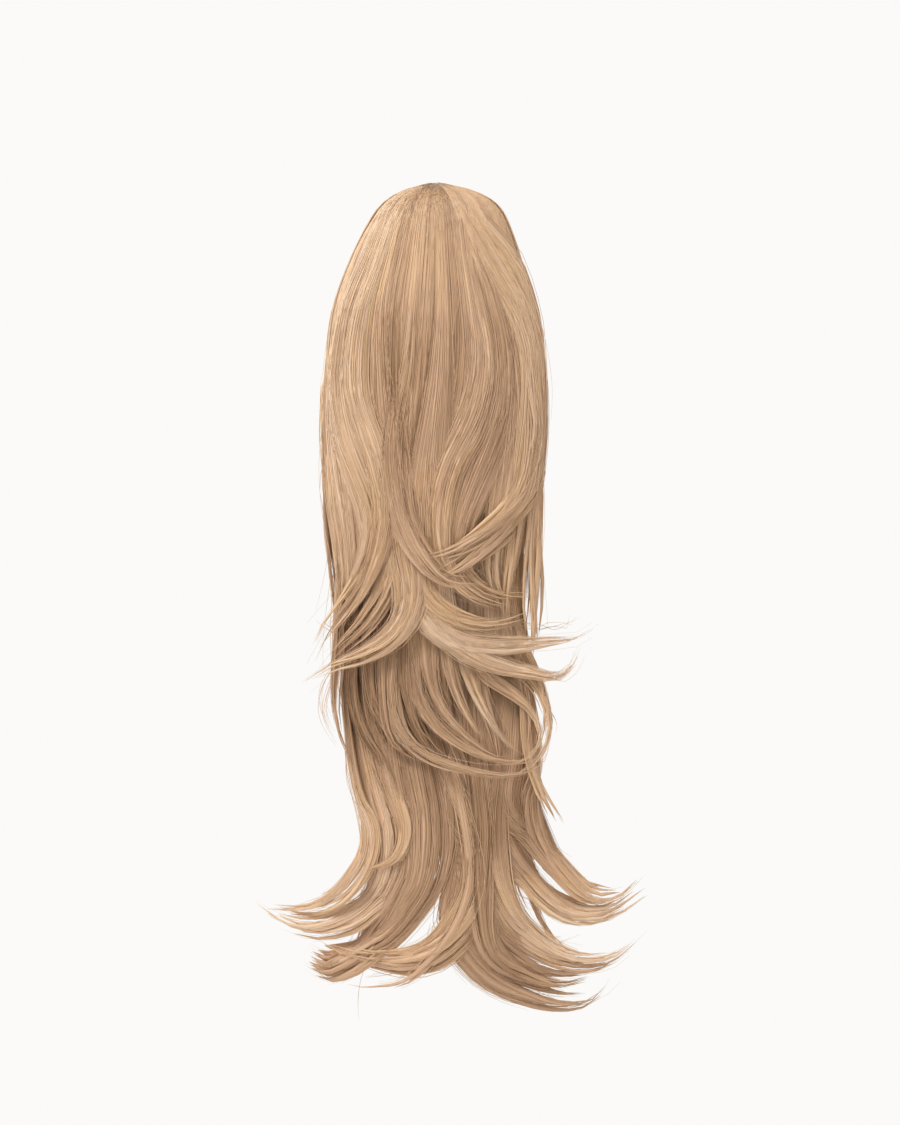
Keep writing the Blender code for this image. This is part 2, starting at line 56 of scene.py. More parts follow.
LEAST_REACH = 0.0004
# how strongly the hair faces upwards on top of the crown, and the share of the drop where that ends
CROWN_FACING = 1.5
CROWN_ROUND = 0.06
# where along its guide a lock starts to flick, and how far its flick stays off the form's sides
FLICK_START = 0.55
FLICK_CLEAR = 0.14
# a side or back lock has these steps to its hem, then a flick in shares of its reach and its fall
REAR_STEPS = 8
REAR_FLICK = ((0.06, 0.42), (0.30, 0.84), (0.64, 1.02), (1.00, 0.96))

# drop, reach to the left, reach to the right, depth, wrap of the outer tiers in degrees from the front
FORM = np.array((
    (0.000, 0.05, 0.06, 0.12, 168),
    (0.006, 0.24, 0.28, 0.48, 160),
    (0.016, 0.41, 0.47, 0.68, 140),
    (0.030, 0.52, 0.61, 0.80, 126),
    (0.052, 0.62, 0.69, 0.88, 117),
    (0.085, 0.74, 0.77, 0.94, 112),
    (0.125, 0.86, 0.85, 0.97, 112),
    (0.173, 0.95, 0.92, 1.00, 120),
    (0.250, 1.01, 0.95, 1.00, 138),
    (0.390, 1.00, 0.91, 0.98, 156),
    (0.440, 0.96, 0.87, 0.96, 164),
    (0.480, 0.94, 0.87, 0.94, 168),
    (0.550, 0.90, 0.86, 0.90, 172),
    (0.630, 0.88, 0.93, 0.86, 172),
    (0.700, 0.80, 0.91, 0.82, 172),
    (0.760, 0.68, 0.88, 0.80, 172),
    (0.820, 0.60, 0.87, 0.80, 172),
    (1.000, 0.58, 0.85, 0.90, 172),
))
STEP = 0.003
ANGLE_RUN = 0.045


def form(column, drop):
    return np.interp(drop, FORM[:, 0], FORM[:, column])


def ease(value):
    """0 to 1 with soft ends."""
    value = np.clip(value, 0.0, 1.0)
    return value * value * (3.0 - 2.0 * value)


def eased_over(drop, span):
    """0 above a span of drops, easing to 1 below it."""
    return ease((drop - span[0]) / (span[1] - span[0]))


def flick_share(count):
    """0 down the hanging part of a guide, easing to 1 at the end of its flick."""
    return ease((np.linspace(0.0, 1.0, count) - FLICK_START) / (1.0 - FLICK_START))


def unit(vectors):
    return vectors / np.maximum(np.linalg.norm(vectors, axis=-1, keepdims=True), 1e-9)


def half_axes(drop, to_right, inset):
    """The half width and half depth of the hanging form at a drop, an inset inside it."""
    reach = HALF_WIDTH * np.where(to_right, form(2, drop), form(1, drop))
    return np.maximum(reach - inset, LEAST_REACH), np.maximum(HALF_DEPTH * form(3, drop) - inset, LEAST_REACH)


def flowing(points):
    """Even steps along a smooth curve through rows of values."""
    points = np.asarray(points, float)
    rows = np.vstack([2 * points[0] - points[1], points, 2 * points[-1] - points[-2]])
    t = np.linspace(0.0, 1.0, 16, endpoint=False)[:, None]
    runs = [
        0.5 * (2 * b + (c - a) * t + (2 * a - 5 * b + 4 * c - d) * t**2 + (3 * b - a - 3 * c + d) * t**3)
        for a, b, c, d in zip(rows, rows[1:], rows[2:], rows[3:])
    ]
    fine = np.vstack([*runs, points[-1:]])
    along = np.concatenate([[0.0], np.cumsum(np.linalg.norm(np.diff(fine, axis=0), axis=1))])
    steps = np.arange(0.0, along[-1], STEP)
    return np.stack([np.interp(steps, along, column) for column in fine.T], axis=1)


def laid(angle, drop, beyond, lift, inset):
    """A guide on the hanging form: its points, the way out from the hair and the way across its lock."""
    across, deep = half_axes(drop, np.sin(angle) > 0.0, inset)
    place = np.stack([
        across * np.sin(angle) + beyond,
        CENTRE_Y - (deep + lift) * np.cos(angle),
        CROWN_Z - drop * HAIR_DROP,
    ], axis=1)
    for _ in range(3):
        place[1:-1] = 0.25 * place[:-2] + 0.5 * place[1:-1] + 0.25 * place[2:]
    out = unit(np.stack([np.sin(angle) * deep, -np.cos(angle) * across, np.zeros(len(angle))], axis=1))
    out[:, 2] = CROWN_FACING * (1.0 - ease(drop / CROWN_ROUND))
    out = unit(out)
    tangent = unit(np.gradient(place, axis=0))
    aside = unit(np.cross(out, tangent))
    # Where a flick runs straight out, the way across is carried on from the hair above.
    for i in range(1, len(aside)):
        held = np.linalg.norm(np.cross(out[i], tangent[i]))
        mixed = aside[i] * held + aside[i - 1] * (1.0 - held)
        mixed -= tangent[i] * np.dot(mixed, tangent[i])
        aside[i] = mixed / np.linalg.norm(mixed)
    out = unit(np.cross(tangent, aside))
    return {
        "place": place, "out": out, "aside": aside, "tangent": tangent, "drop": drop,
        "length": STEP * (len(place) - 1),
    }


def front_guide(points, stand, inset_at):
    """A guide on the front, through given points: x in shares of the half width, and the drop."""
    line = flowing([(x * HALF_WIDTH, drop * HAIR_DROP) for x, drop in points])
    x, drop = line[:, 0], line[:, 1] / HAIR_DROP
    flick = flick_share(len(x))
    inset = inset_at(drop)
    across, _ = half_axes(drop, x > 0.0, inset)
    sine = np.clip(x / across, -1.0 + FLICK_CLEAR * flick, 1.0 - FLICK_CLEAR * flick)
    return laid(np.arcsin(sine), drop, x - across * sine, stand * flick, inset)


def rear_guide(share, start, hem, out, fall, stand, inset_at, wave=0.0, fixed=False, edge=0.0):
    """A guide round the side or back: it keeps its share of the wrap down to the hem, then flicks outwards.

    The share runs from the edge, in degrees from the front, to the wrap."""
    points = []
    for n in range(REAR_STEPS + 1):
        drop = start + (hem - start) * n / REAR_STEPS
        wrap = 180.0 if fixed else form(4, drop)
        sway = wave * math.sin(2.6 * math.pi * n / REAR_STEPS)
        turn = math.copysign(edge, share) + share * (wrap - edge) + sway
        points.append((math.radians(turn) * ANGLE_RUN, drop * HAIR_DROP, 0.0))
    last = points[-1][0]
    for reach, drop in REAR_FLICK:
        points.append((last, (hem + fall * drop) * HAIR_DROP, reach * out * HALF_WIDTH))
    line = flowing(points)
    angle, drop, beyond = line[:, 0] / ANGLE_RUN, line[:, 1] / HAIR_DROP, line[:, 2]
    return laid(angle, drop, beyond, stand * flick_share(len(drop)), inset_at(drop))


# Hair strands
# A ponytail of this kind is synthetic fibre, waved by heat and sewn on in wefts. Each lock gathers from an
# even sheet at the weft into wisps, whose ends fray apart. A wisp is a flat tapered tube of massed fibre,
# and the loose strands on and between the wisps are fine three-sided rods.
WISP_SPACING = 0.0019
# faces round a wisp and a strand, and how much of the blend of tones each spans
WISP_SIDES = 6
STRAND_SIDES = 3
WISP_TONES = 0.10
STRAND_TONES = 0.012
# how far wisps and strands lie over their neighbours, and their height in shares of the lock's
WISP_OVERLAP = 2.1
STRAND_OVERLAP = 2.6
WISP_HEIGHT = 0.25
STRAND_HEIGHT = 0.36
# painted shade: how much darker the last wisp of each lock is, for the shadow in the gap beside the next lock
PAINTED_GAP_SHADE = 0.12
# share of the map across, and the tone of the fibre there
HAIR_BLEND = (
    (0.00, (0.340, 0.195, 0.105)),
    (0.16, (0.500, 0.305, 0.170)),
    (0.30, (0.640, 0.412, 0.250)),
    (0.44, (0.750, 0.505, 0.334)),
    (0.56, (0.800, 0.540, 0.304)),
    (0.70, (0.880, 0.635, 0.436)),
    (0.84, (0.920, 0.680, 0.460)),
    (1.00, (0.950, 0.760, 0.590)),
)
# lengths of a lock's waves, across it and out from it
WAVE_ACROSS = 0.11
WAVE_OUT = 0.09


def along_guide(guide, field, s):
    """A guide's field at distances s from its root, carried straight on past its end."""
    values = guide[field]
    at = np.clip(s / STEP, 0.0, len(values) - 1.001)
    low = at.astype(int)
    share = (at - low).reshape(at.shape + (1,) * (values.ndim - 1))
    found = values[low] * (1.0 - share) + values[low + 1] * share
    if field == "place":
        found = found + np.maximum(s - guide["length"], 0.0)[..., None] * guide["tangent"][-1]
    return found


def ring_shares(guide, rings):
    """Where along a strand its rings sit, as shares of its length: closer together where the lock curls."""
    bend = np.linalg.norm(np.gradient(guide["tangent"], STEP, axis=0), axis=1)
    weight = np.sqrt(bend + 6.0)
    along = np.concatenate([[0.0], np.cumsum(0.5 * (weight[1:] + weight[:-1]))])
    return np.interp(np.linspace(0.0, 1.0, rings), along / along[-1], np.linspace(0.0, 1.0, len(along)))


def held_in_lock(lock, s, sheet_place, lock_aside, lock_out):
    """Points along a lock, the ways across and out there, and how far each of its wisps spreads.

    sheet_place is the place across the even sheet at the weft, lock_aside and lock_out the place in the
    gathered lock, all from -1 to 1."""
    guide, before, after = lock["guide"], lock["before"], lock["after"]
    share = np.minimum(s / guide["length"], 1.05)
    drop = along_guide(guide, "drop", s)
    place = along_guide(guide, "place", s)
    out = unit(along_guide(guide, "out", s))
    aside = unit(along_guide(guide, "aside", s))
    gathered = np.maximum.accumulate(eased_over(drop, lock["gather"]), axis=1)
    clumped = np.maximum.accumulate(eased_over(drop, lock["clump"]), axis=1)

    in_aside = (1.0 - clumped) * sheet_place + clumped * lock_aside
    in_out = clumped * (lock_out + 0.45 * np.sqrt(np.clip(1.0 - lock_aside**2, 0.0, 1.0)))
    turn = lock["twist"] * share**2
    in_aside, in_out = (
        in_aside * np.cos(turn) - in_out * np.sin(turn),
        in_aside * np.sin(turn) + in_out * np.cos(turn),
    )

    def to_neighbour(other, side):
        if other is None:
            return 0.9 * lock["width"] * np.interp(drop, (0.0, 0.10), (0.15, 1.0))
        level = s + (guide["drop"][0] - other["drop"][0]) * HAIR_DROP
        gap = along_guide(other, "place", np.maximum(level, 0.0)) - place
        return np.clip(side * np.sum(gap * aside, axis=-1), 0.0, 1.5 * lock["width"])

    spacing = np.where(in_aside < 0.0, to_neighbour(before, -1.0), to_neighbour(after, 1.0))
    full, splay = lock["full"], lock["splay"]
    profile = np.interp(
        share, (0.0, full - 0.2, full, 0.5 + 0.5 * full, 1.0), (1.5, 1.5, 1.0, 0.55 + 0.45 * splay, splay)
    )
    half_width = (1.0 - gathered) * 0.55 * spacing + gathered * 0.5 * lock["width"] * profile
    thick = np.interp(share, (0.0, 0.12, 0.3, 0.75, 1.0), (0.20, 0.45, 1.0, 1.0, 0.5))
    half_thick = 0.5 * lock["thickness"] * thick * (0.5 + 0.5 * gathered)
    crowned = 1.0 - gathered + gathered * np.sqrt(np.clip(1.10 - in_aside**2, 0.1, 1.0))
    above, below = lock["layer"]
    layer = above + (below - above) * eased_over(drop, lock["turn"])
    ridge = ease(share / 0.30) * (lock["ridge"] * (1.0 - in_aside**2) + layer)
    path = place + aside * (in_aside * half_width)[..., None]
    path = path + out * (in_out * half_thick * crowned + ridge)[..., None]
    tone, tone_before, tone_after = (
        np.interp(drop, lock["tone_at"], lock[each]) for each in ("tone", "tone_before", "tone_after")
    )
    beside = np.where(in_aside < 0.0, tone_before, tone_after)
    tone = tone + (1.0 - gathered) * 0.5 * np.abs(in_aside) * (beside - tone)
    return path, aside, out, half_width, half_thick, share, tone


def fill_lock(lock, random):
    """One lock as its wisps and its loose strands: for each a path, ways, radii and the tone of its fibre."""
    wisps, rings = lock["wisps"], lock["rings"]
    t = ring_shares(lock["guide"], rings)
    sheet_place = np.linspace(-0.9, 0.9, wisps) + random.normal(0.0, 0.03, wisps)
    lock_aside = np.linspace(-0.86, 0.86, wisps) + random.normal(0.0, 0.08, wisps)
    lock_out = random.uniform(-0.26, 0.26, wisps)
    uneven = 0.08 * lock_aside**2 + 0.10 * random.uniform(0.0, 1.0, wisps)
    ragged = lock["ragged"] * (1.0 - lock["splay"]) * uneven
    end = lock["guide"]["length"] * (1.02 - ragged)
    start = lock["start"] * random.uniform(0.0, 1.0, wisps)
    slope = random.uniform(-0.07, 0.07)
    shift = random.normal(0.0, 0.05, wisps) + slope * lock_aside
    # painted shade: the lock's last wisp is darkened to stand for the shadow in the gap between locks
    shift[-1] -= PAINTED_GAP_SHADE
    phase = random.uniform(0.0, 2 * math.pi, (2, wisps, 1))
    breadth = random.uniform(0.70, 1.45, wisps)

    def sway(s, phase, size, wave):
        return size * np.sin(2 * math.pi * s / wave + phase)

    s = start[:, None] + (end - start)[:, None] * t
    path, aside, out, half_width, half_thick, share, tone = held_in_lock(
        lock, s, sheet_place[:, None], lock_aside[:, None], lock_out[:, None]
    )
    swing = lock["swing"] * share**1.5
    path = path + aside * sway(s, phase[0], swing, WAVE_ACROSS)[..., None]
    path = path + out * sway(s, phase[1], swing, WAVE_OUT)[..., None]
    tip = lock["tip"]
    taper = np.interp(t, (0.0, tip, 0.4 * tip + 0.6, 0.97, 1.0), (1.0, 1.0, 0.72, 0.36, 0.04))
    wide = half_width * (WISP_OVERLAP / wisps) * taper * breadth[:, None]
    high = half_thick * WISP_HEIGHT * taper
    bodies = (path, aside, out, wide, high, np.clip(tone + shift[:, None], 0.06, 0.94))

    count = wisps * lock["strands"]
    own = np.repeat(np.arange(wisps), lock["strands"])
    across = np.tile(np.linspace(-1.15, 1.15, lock["strands"]), wisps) + random.normal(0.0, 0.10, count)
    front = np.where(random.uniform(0.0, 1.0, count) < 0.88, 1.0, -1.0)
    loose = np.clip(random.normal(0.0, 0.40, count), -1.2, 1.2)
    wisp_length = end * (1.0 - 0.12 * random.uniform(0.0, 1.0, count)[:wisps])
    length = wisp_length[own] * random.uniform(0.86, 1.05, count)
    first = lock["start"] * random.uniform(0.0, 1.0, count)
    s = first[:, None] + (length - first)[:, None] * t
    path, aside, out, half_width, half_thick, share, tone = held_in_lock(
        lock, s, sheet_place[own][:, None], lock_aside[own][:, None], lock_out[own][:, None]
    )
    swing = lock["swing"] * share**1.5
    path = path + aside * sway(s, phase[0][own], swing, WAVE_ACROSS)[..., None]
    path = path + out * sway(s, phase[1][own], swing, WAVE_OUT)[..., None]
    taper = np.interp(share, (0.0, 0.72, 0.90, 1.0), (1.0, 1.0, 0.80, 0.50))
    wide = half_width * (STRAND_OVERLAP / wisps) * taper * breadth[own][:, None]
    high = half_thick * STRAND_HEIGHT * taper
    on_top = np.sqrt(np.clip(1.0 - across**2, 0.0, 1.0))[:, None] * front[:, None]
    fine = random.uniform(0.00005, 0.00028, (2, count, 1)) * (0.4 + share)
    own_phase = random.uniform(0.0, 2 * math.pi, (2, count, 1))
    proud = random.uniform(0.0, 0.00025, (count, 1)) * front[:, None]
    path = path + aside * (across[:, None] * wide + loose[:, None] * 0.0012 * share**2)[..., None]
    path = path + aside * sway(s, own_phase[0], fine[0], 0.13)[..., None]
    path = path + out * (on_top * high + proud + sway(s, own_phase[1], 0.5 * fine[1], 0.10))[..., None]
    radius = random.uniform(0.00016, 0.00030, (count, 1))
    radius = radius * np.interp(t, (0.0, 0.08, 0.25, 0.70, 0.9, 1.0), (0.35, 0.6, 1.0, 1.0, 0.7, 0.2))
    odd = random.choice((0.0, -0.24, 0.18), count, p=(0.90, 0.04, 0.06))
    shift = shift[own] + odd + random.normal(0.03, 0.06, count)
    shade = np.clip(tone + shift[:, None], 0.03, 0.97)
    return bodies, (path, aside, out, 1.15 * radius, 0.65 * radius, shade)


def tubes_mesh(name, batches, sides, tone_spread):
    """Tapered tubes as one mesh. Its map has the tone of the fibre across, and root to tip upwards."""
    paths, asides, outs, wide, high, tones = (np.concatenate(part) for part in zip(*batches))
    count, rings = wide.shape
    turn = np.radians(90.0 + 360.0 * np.arange(sides) / sides)
    tangent = unit(np.gradient(paths, axis=1))
    asides = unit(asides - tangent * np.sum(asides * tangent, axis=-1, keepdims=True))
    square = np.cross(tangent, asides)
    outs = square * np.sign(np.sum(square * outs, axis=-1, keepdims=True))
    ring = paths[:, :, None] + (
        (wide[..., None] * np.cos(turn))[..., None] * asides[:, :, None]
        + (high[..., None] * np.sin(turn))[..., None] * outs[:, :, None]
    )
    corner = np.arange(sides)
    following = (corner + 1) % sides
    row = np.arange(rings - 1)[:, None] * sides
    one = np.stack([row + corner, row + following, row + sides + following, row + sides + corner], axis=-1)
    first = np.arange(count)[:, None] * rings * sides
    quads = (first[:, :, None] + one.reshape(1, -1, 4)).reshape(-1, 4)
    roots = first + corner[::-1]
    tips = first + (rings - 1) * sides + corner
    loops = np.concatenate([quads.ravel(), roots.ravel(), tips.ravel()])
    starts = np.concatenate([np.arange(len(quads)) * 4, len(quads) * 4 + np.arange(2 * count) * sides])

    # The tone runs up over the visible half of a tube and back down behind, so no seam shows.
    fold = 1.0 - np.abs(2.0 * np.arange(sides + 1) / sides - 1.0)
    low = np.clip(tones - 0.5 * tone_spread, 0.01, 0.99 - tone_spread)
    u = np.stack([low[:, :-1], low[:, :-1], low[:, 1:], low[:, 1:]], axis=-1)[:, :, None]
    u = u + tone_spread * np.stack([fold[:-1], fold[1:], fold[1:], fold[:-1]], axis=-1)
    v = 0.02 + 0.96 * np.arange(rings) / (rings - 1)
    v = np.stack([v[:-1], v[:-1], v[1:], v[1:]], axis=-1)[None, :, None]
    u, v = np.broadcast_arrays(u, v)
    walls = np.stack([u, v], axis=-1).reshape(-1, 2)
    circle = np.stack([0.5 + 0.5 * np.cos(turn), 0.5 + 0.5 * np.sin(turn)], axis=-1)
    low = low[:, :1]
    caps = np.stack(np.broadcast_arrays(low + tone_spread * circle[:, 0], 0.02 * circle[:, 1]), axis=-1)
    ends = np.concatenate([caps[:, ::-1].reshape(-1, 2), (caps + (0.0, 0.98)).reshape(-1, 2)])

    mesh = bpy.data.meshes.new(name)
    mesh.vertices.add(ring.size // 3)
    mesh.vertices.foreach_set("co", ring.ravel())
    mesh.loops.add(len(loops))
    mesh.loops.foreach_set("vertex_index", loops)
    mesh.polygons.add(len(starts))
    mesh.polygons.foreach_set("loop_start", starts)
    mesh.polygons.foreach_set("use_smooth", np.ones(len(starts), bool))
    mesh.update(calc_edges=True)
    layer = mesh.uv_layers.new(name="OFBake")
    layer.data.foreach_set("uv", np.concatenate([walls, ends]).ravel())
    made = bpy.data.objects.new(name, mesh)
    bpy.context.collection.objects.link(made)
    return made


def add_node(tree, kind, inputs, **settings):
    """A shader node with its settings, each of its inputs given a value or another node's output."""
    node = tree.nodes.new("ShaderNode" + kind)
    for key, value in settings.items():
        setattr(node, key, value)
    for key, value in inputs.items():
        if isinstance(value, bpy.types.NodeSocket):
            tree.links.new(value, node.inputs[key])
        else:
            node.inputs[key].default_value = value
    return node


def add_ramp(tree, value, stops):
    """The colour at a value between the given stops, each a position and a colour."""
    ramp = add_node(tree, "ValToRGB", {"Fac": value})
    elements = ramp.color_ramp.elements
    for position, _ in stops[1:-1]:
        elements.new(position)
    for element, (position, colour) in zip(elements, stops):
        element.position = position
        element.color = (*colour, 1.0)
    return ramp.outputs["Color"]


def add_bump(tree, shader, height, strength, distance):
    bump = add_node(tree, "Bump", {"Height": height, "Strength": strength, "Distance": distance})
    tree.links.new(bump.outputs["Normal"], shader.inputs["Normal"])


def start_material(name, values):
    """A material and its shader, with the values that don't change over the surface."""
    made = bpy.data.materials.new(name)
    made.use_nodes = True
    shader = made.node_tree.nodes["Principled BSDF"]
    for key, value in values.items():
        shader.inputs[key].default_value = value
    return made, made.node_tree, shader


def hair_colour_group():
    """Fibre colour from the hair's own map: across it the tones of the blend, along it root to tip. It holds
    painted shade: darker all over by its shade depth, and darker at the root for the shade of the hair above.
    """
    group = bpy.data.node_groups.new("hair_fibre_and_shade", "ShaderNodeTree")
    for name, value in (("Depth", 1.0), ("RootShade", 0.9), ("Full", 0.35), ("Streaks", 300.0), ("Contrast", 0.2)):
        socket = group.interface.new_socket(name=name, in_out="INPUT", socket_type="NodeSocketFloat")
        socket.default_value = value
    group.interface.new_socket(name="Color", in_out="OUTPUT", socket_type="NodeSocketColor")
    group.interface.new_socket(name="Height", in_out="OUTPUT", socket_type="NodeSocketFloat")
    given = group.nodes.new("NodeGroupInput").outputs
    result = group.nodes.new("NodeGroupOutput").inputs

    def worked(operation, *values):
        return add_node(group, "Math", dict(enumerate(values)), operation=operation).outputs[0]

    strand_map = add_node(group, "UVMap", {}, uv_map="OFBake")
    at = add_node(group, "SeparateXYZ", {0: strand_map.outputs["UV"]}).outputs
    blend = add_ramp(group, at["X"], HAIR_BLEND)
    fibres = add_node(group, "CombineXYZ", {
        "X": worked("MULTIPLY", at["X"], given["Streaks"]), "Y": worked("MULTIPLY", at["Y"], 5.0),
    })
    streaks = add_node(group, "TexNoise", {"Vector": fibres.outputs[0], "Scale": 1.0, "Detail": 2.0})
    streak = streaks.outputs["Fac"]
    tint = worked("MULTIPLY_ADD", worked("SUBTRACT", streak, 0.5), given["Contrast"], 1.0)
    # Painted shade: darker towards the root, for the shade under the hair above, easing off along the strand,
    # and darker all over by the given shade depth.
    painted_root_shade = add_node(group, "MapRange", {
        "Value": at["Y"], "From Min": 0.0, "From Max": given["Full"], "To Min": given["RootShade"], "To Max": 1.0,
    })
    shade = worked("MULTIPLY", tint, worked("MULTIPLY", painted_root_shade.outputs[0], given["Depth"]))
    grey = add_node(group, "CombineXYZ", {0: shade, 1: shade, 2: shade})
    # The painted shade is made warmer as it darkens, as hair in shadow looks.
    warmed_shade = add_node(group, "VectorMath", {0: grey.outputs[0], 1: (0.85, 1.06, 1.25)}, operation="POWER")
    colour = add_node(group, "VectorMath", {0: blend, 1: warmed_shade.outputs[0]}, operation="MULTIPLY")
    group.links.new(colour.outputs[0], result["Color"])
    group.links.new(streak, result["Height"])
    return group


HAIR_FIBRE_AND_SHADE = hair_colour_group()


def hair_material(name, depth, root, full, streaks, contrast, bump_height):
    """Fibre with a soft sheen. Its colour has painted shade: darker by depth all over, and darker still
    towards its root, by root there, easing off until full along its length.
    """
    made, tree, shader = start_material(name, {"Roughness": 0.38, "Specular IOR Level": 0.45})
    fibre = add_node(tree, "Group", {
        "Depth": depth, "RootShade": root, "Full": full, "Streaks": streaks, "Contrast": contrast,
    }, node_tree=HAIR_FIBRE_AND_SHADE)
    tree.links.new(fibre.outputs["Color"], shader.inputs["Base Color"])
    add_bump(tree, shader, fibre.outputs["Height"], 0.5, bump_height)
    return made


def hair_lock(guide, width, thickness, tone, gather, clump, strands, rings, twist, **own):
    """A lock along its guide: the drops where it gathers and clumps, and its own way of ending."""
    lock = {
        "guide": guide, "width": width, "thickness": thickness, "tone": tone,
        "gather": gather, "clump": clump,
        "wisps": max(3, round(width / WISP_SPACING)), "strands": strands, "rings": rings, "twist": twist,
        "splay": 0.25, "swing": 0.0013, "start": 0.006, "ridge": 0.0012, "full": 0.6, "tip": 0.76,
        "ragged": 1.33,
        "layer": (0.0, 0.0), "turn": (0.33, 0.46), "before": None, "after": None,
    }
    lock.update(own)
    lock.setdefault("tone_at", lock["turn"])
    lock["tone_before"] = lock["tone_after"] = tone
    return lock


def sew_weft(locks, closed):
    """Tell each lock which guides hang beside it, so that all of them leave the weft as one even sheet."""
    for n, one in enumerate(locks):
        if n > 0 or closed:
            one["before"] = locks[n - 1]["guide"]
            one["tone_before"] = locks[n - 1]["tone"]
        if n + 1 < len(locks) or closed:
            one["after"] = locks[(n + 1) % len(locks)]["guide"]
            one["tone_after"] = locks[(n + 1) % len(locks)]["tone"]


def hair_pieces(name, locks, seed, node, materials):
    """The locks' wisps as one mesh and their loose strands as another, in place of a CAD tier."""
    random = np.random.default_rng(seed)
    filled = [fill_lock(one, random) for one in locks]
    wisps = tubes_mesh(name + "_wisps", [bodies for bodies, _ in filled], WISP_SIDES, WISP_TONES)
    strands = tubes_mesh(name + "_strands", [loose for _, loose in filled], STRAND_SIDES, STRAND_TONES)
    for made, material in ((wisps, materials[0]), (strands, materials[1])):
        made.data.materials.append(material)
        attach(made, "root")
        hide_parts(node)


# Long hair
# The full-length weft, sewn under the cap. It hangs behind the shorter tiers, shows from the waist down,
# and ends in long flicks that sweep out to both sides.
LONG_INSET = 0.0172
# drops, and the share of the inset there: the weft comes out below the shorter tiers
LONG_EMERGES = (
    (0.0, 0.50, 0.57, 0.64, 0.72, 0.80, 0.88, 1.0),
    (1.0, 1.0, 0.95, 0.80, 0.58, 0.42, 0.30, 0.24),
)
# width and stand in millimetres, tone, then x in shares of the half width and drop for each point
LONG_FRONT = (
    (17, 4, .62, -.80, .500, -.80, .561, -.79, .621, -.73, .676, -.64, .736, -.54, .785, -.57, .829,
     -.76, .868, -1.05, .886, -1.48, .885),
    (21, 6, .74, -.68, .500, -.68, .561, -.67, .621, -.62, .682, -.52, .742, -.41, .797, -.43, .851,
     -.59, .890, -.94, .910, -1.25, .906, -1.59, .881),
    (8, 6, .56, -.55, .500, -.55, .561, -.57, .621, -.50, .682, -.36, .742, -.25, .791, -.34, .829,
     -.59, .839, -.76, .837),
    (22, 2, .34, -.38, .500, -.38, .561, -.38, .633, -.31, .706, -.20, .778, -.20, .833, -.33, .875,
     -.48, .914, -.64, .944, -.92, .955, -1.08, .946),
    (19, 4, .34, -.22, .500, -.22, .561, -.22, .633, -.17, .706, -.06, .778, -.08, .845, -.23, .889,
     -.43, .926, -.68, .953, -.92, .965, -1.05, .957),
    (20, 12, .50, -.04, .500, -.04, .561, -.04, .633, .04, .706, .24, .766, .39, .815, .39, .868, .18, .915,
     -.06, .941, -.39, .949, -.69, .944, -1.03, .921),
    (6, 8, .50, .10, .500, .10, .561, .10, .633, .15, .706, .24, .778, .31, .851, .18, .906, -.03, .942,
     -.26, .972, -.57, .984, -.76, .979),
    (19, 2, .36, .24, .500, .24, .561, .24, .633, .27, .706, .32, .778, .31, .851, .22, .906, .38, .950,
     .61, .979, .84, .994, 1.11, 1.001, 1.38, .995, 1.55, .969),
    (13, 4, .30, .34, .500, .34, .561, .34, .633, .38, .706, .43, .791, .41, .863, .45, .930, .66, .962,
     .93, .979, 1.18, .981, 1.45, .966),
    (17, 6, .44, .45, .500, .45, .561, .45, .633, .48, .706, .48, .791, .46, .851, .54, .900, .75, .936,
     .97, .955, 1.24, .961, 1.52, .954, 1.75, .927),
    (13, 8, .78, .55, .500, .55, .561, .55, .633, .54, .706, .50, .778, .54, .851, .66, .897, .78, .919,
     1.00, .939, 1.27, .949, 1.54, .942, 1.71, .925),
    (20, 4, .84, .64, .500, .64, .561, .64, .633, .57, .706, .55, .766, .66, .821, .84, .862, 1.07, .889,
     1.31, .898, 1.58, .892, 1.87, .863),
    (16, 7, .82, .62, .500, .62, .561, .70, .633, .69, .706, .64, .754, .76, .794, 1.00, .831, 1.24, .864,
     1.43, .874, 1.62, .868, 1.82, .845),
    (12, 2, .64, .68, .500, .68, .561, .82, .633, .87, .706, .83, .754, .92, .800, 1.10, .839, 1.27, .857,
     1.55, .867),
)
# how wide a lock ends and where its wisps taper, where that isn't the usual
LONG_ENDS = {3: (0.85, 0.94), 4: (0.85, 0.94)}
# painted shade: tones above the flicks, dark where they lie in the shadow of the tiers above, and the drops
# they hold at, left of the edge and right of it
LONG_SHADE_EDGE = 0.2
LONG_SHADED_TONES = (
    ((0.12, 0.15, 0.17), (0.58, 0.62, 0.66, 0.76)),
    ((0.44, 0.20, 0.20), (0.69, 0.76, 0.80, 0.91)),
)
# share of the way round to the back, drop where the weft leaves the cap's edge, and the flick's fall
LONG_REAR = (
    (0.60, 0.100, 0.150), (0.69, 0.106, 0.190), (0.78, 0.122, 0.140), (0.87, 0.141, 0.095),
    (0.96, 0.149, 0.092), (-0.96, 0.149, 0.084), (-0.87, 0.141, 0.085), (-0.78, 0.122, 0.120),
    (-0.69, 0.106, 0.184), (-0.60, 0.100, 0.166),
)


def long_inset(drop):
    return LONG_INSET * np.interp(drop, *LONG_EMERGES)


def row_points(row, first):
    return list(zip(row[first::2], row[first + 1::2]))


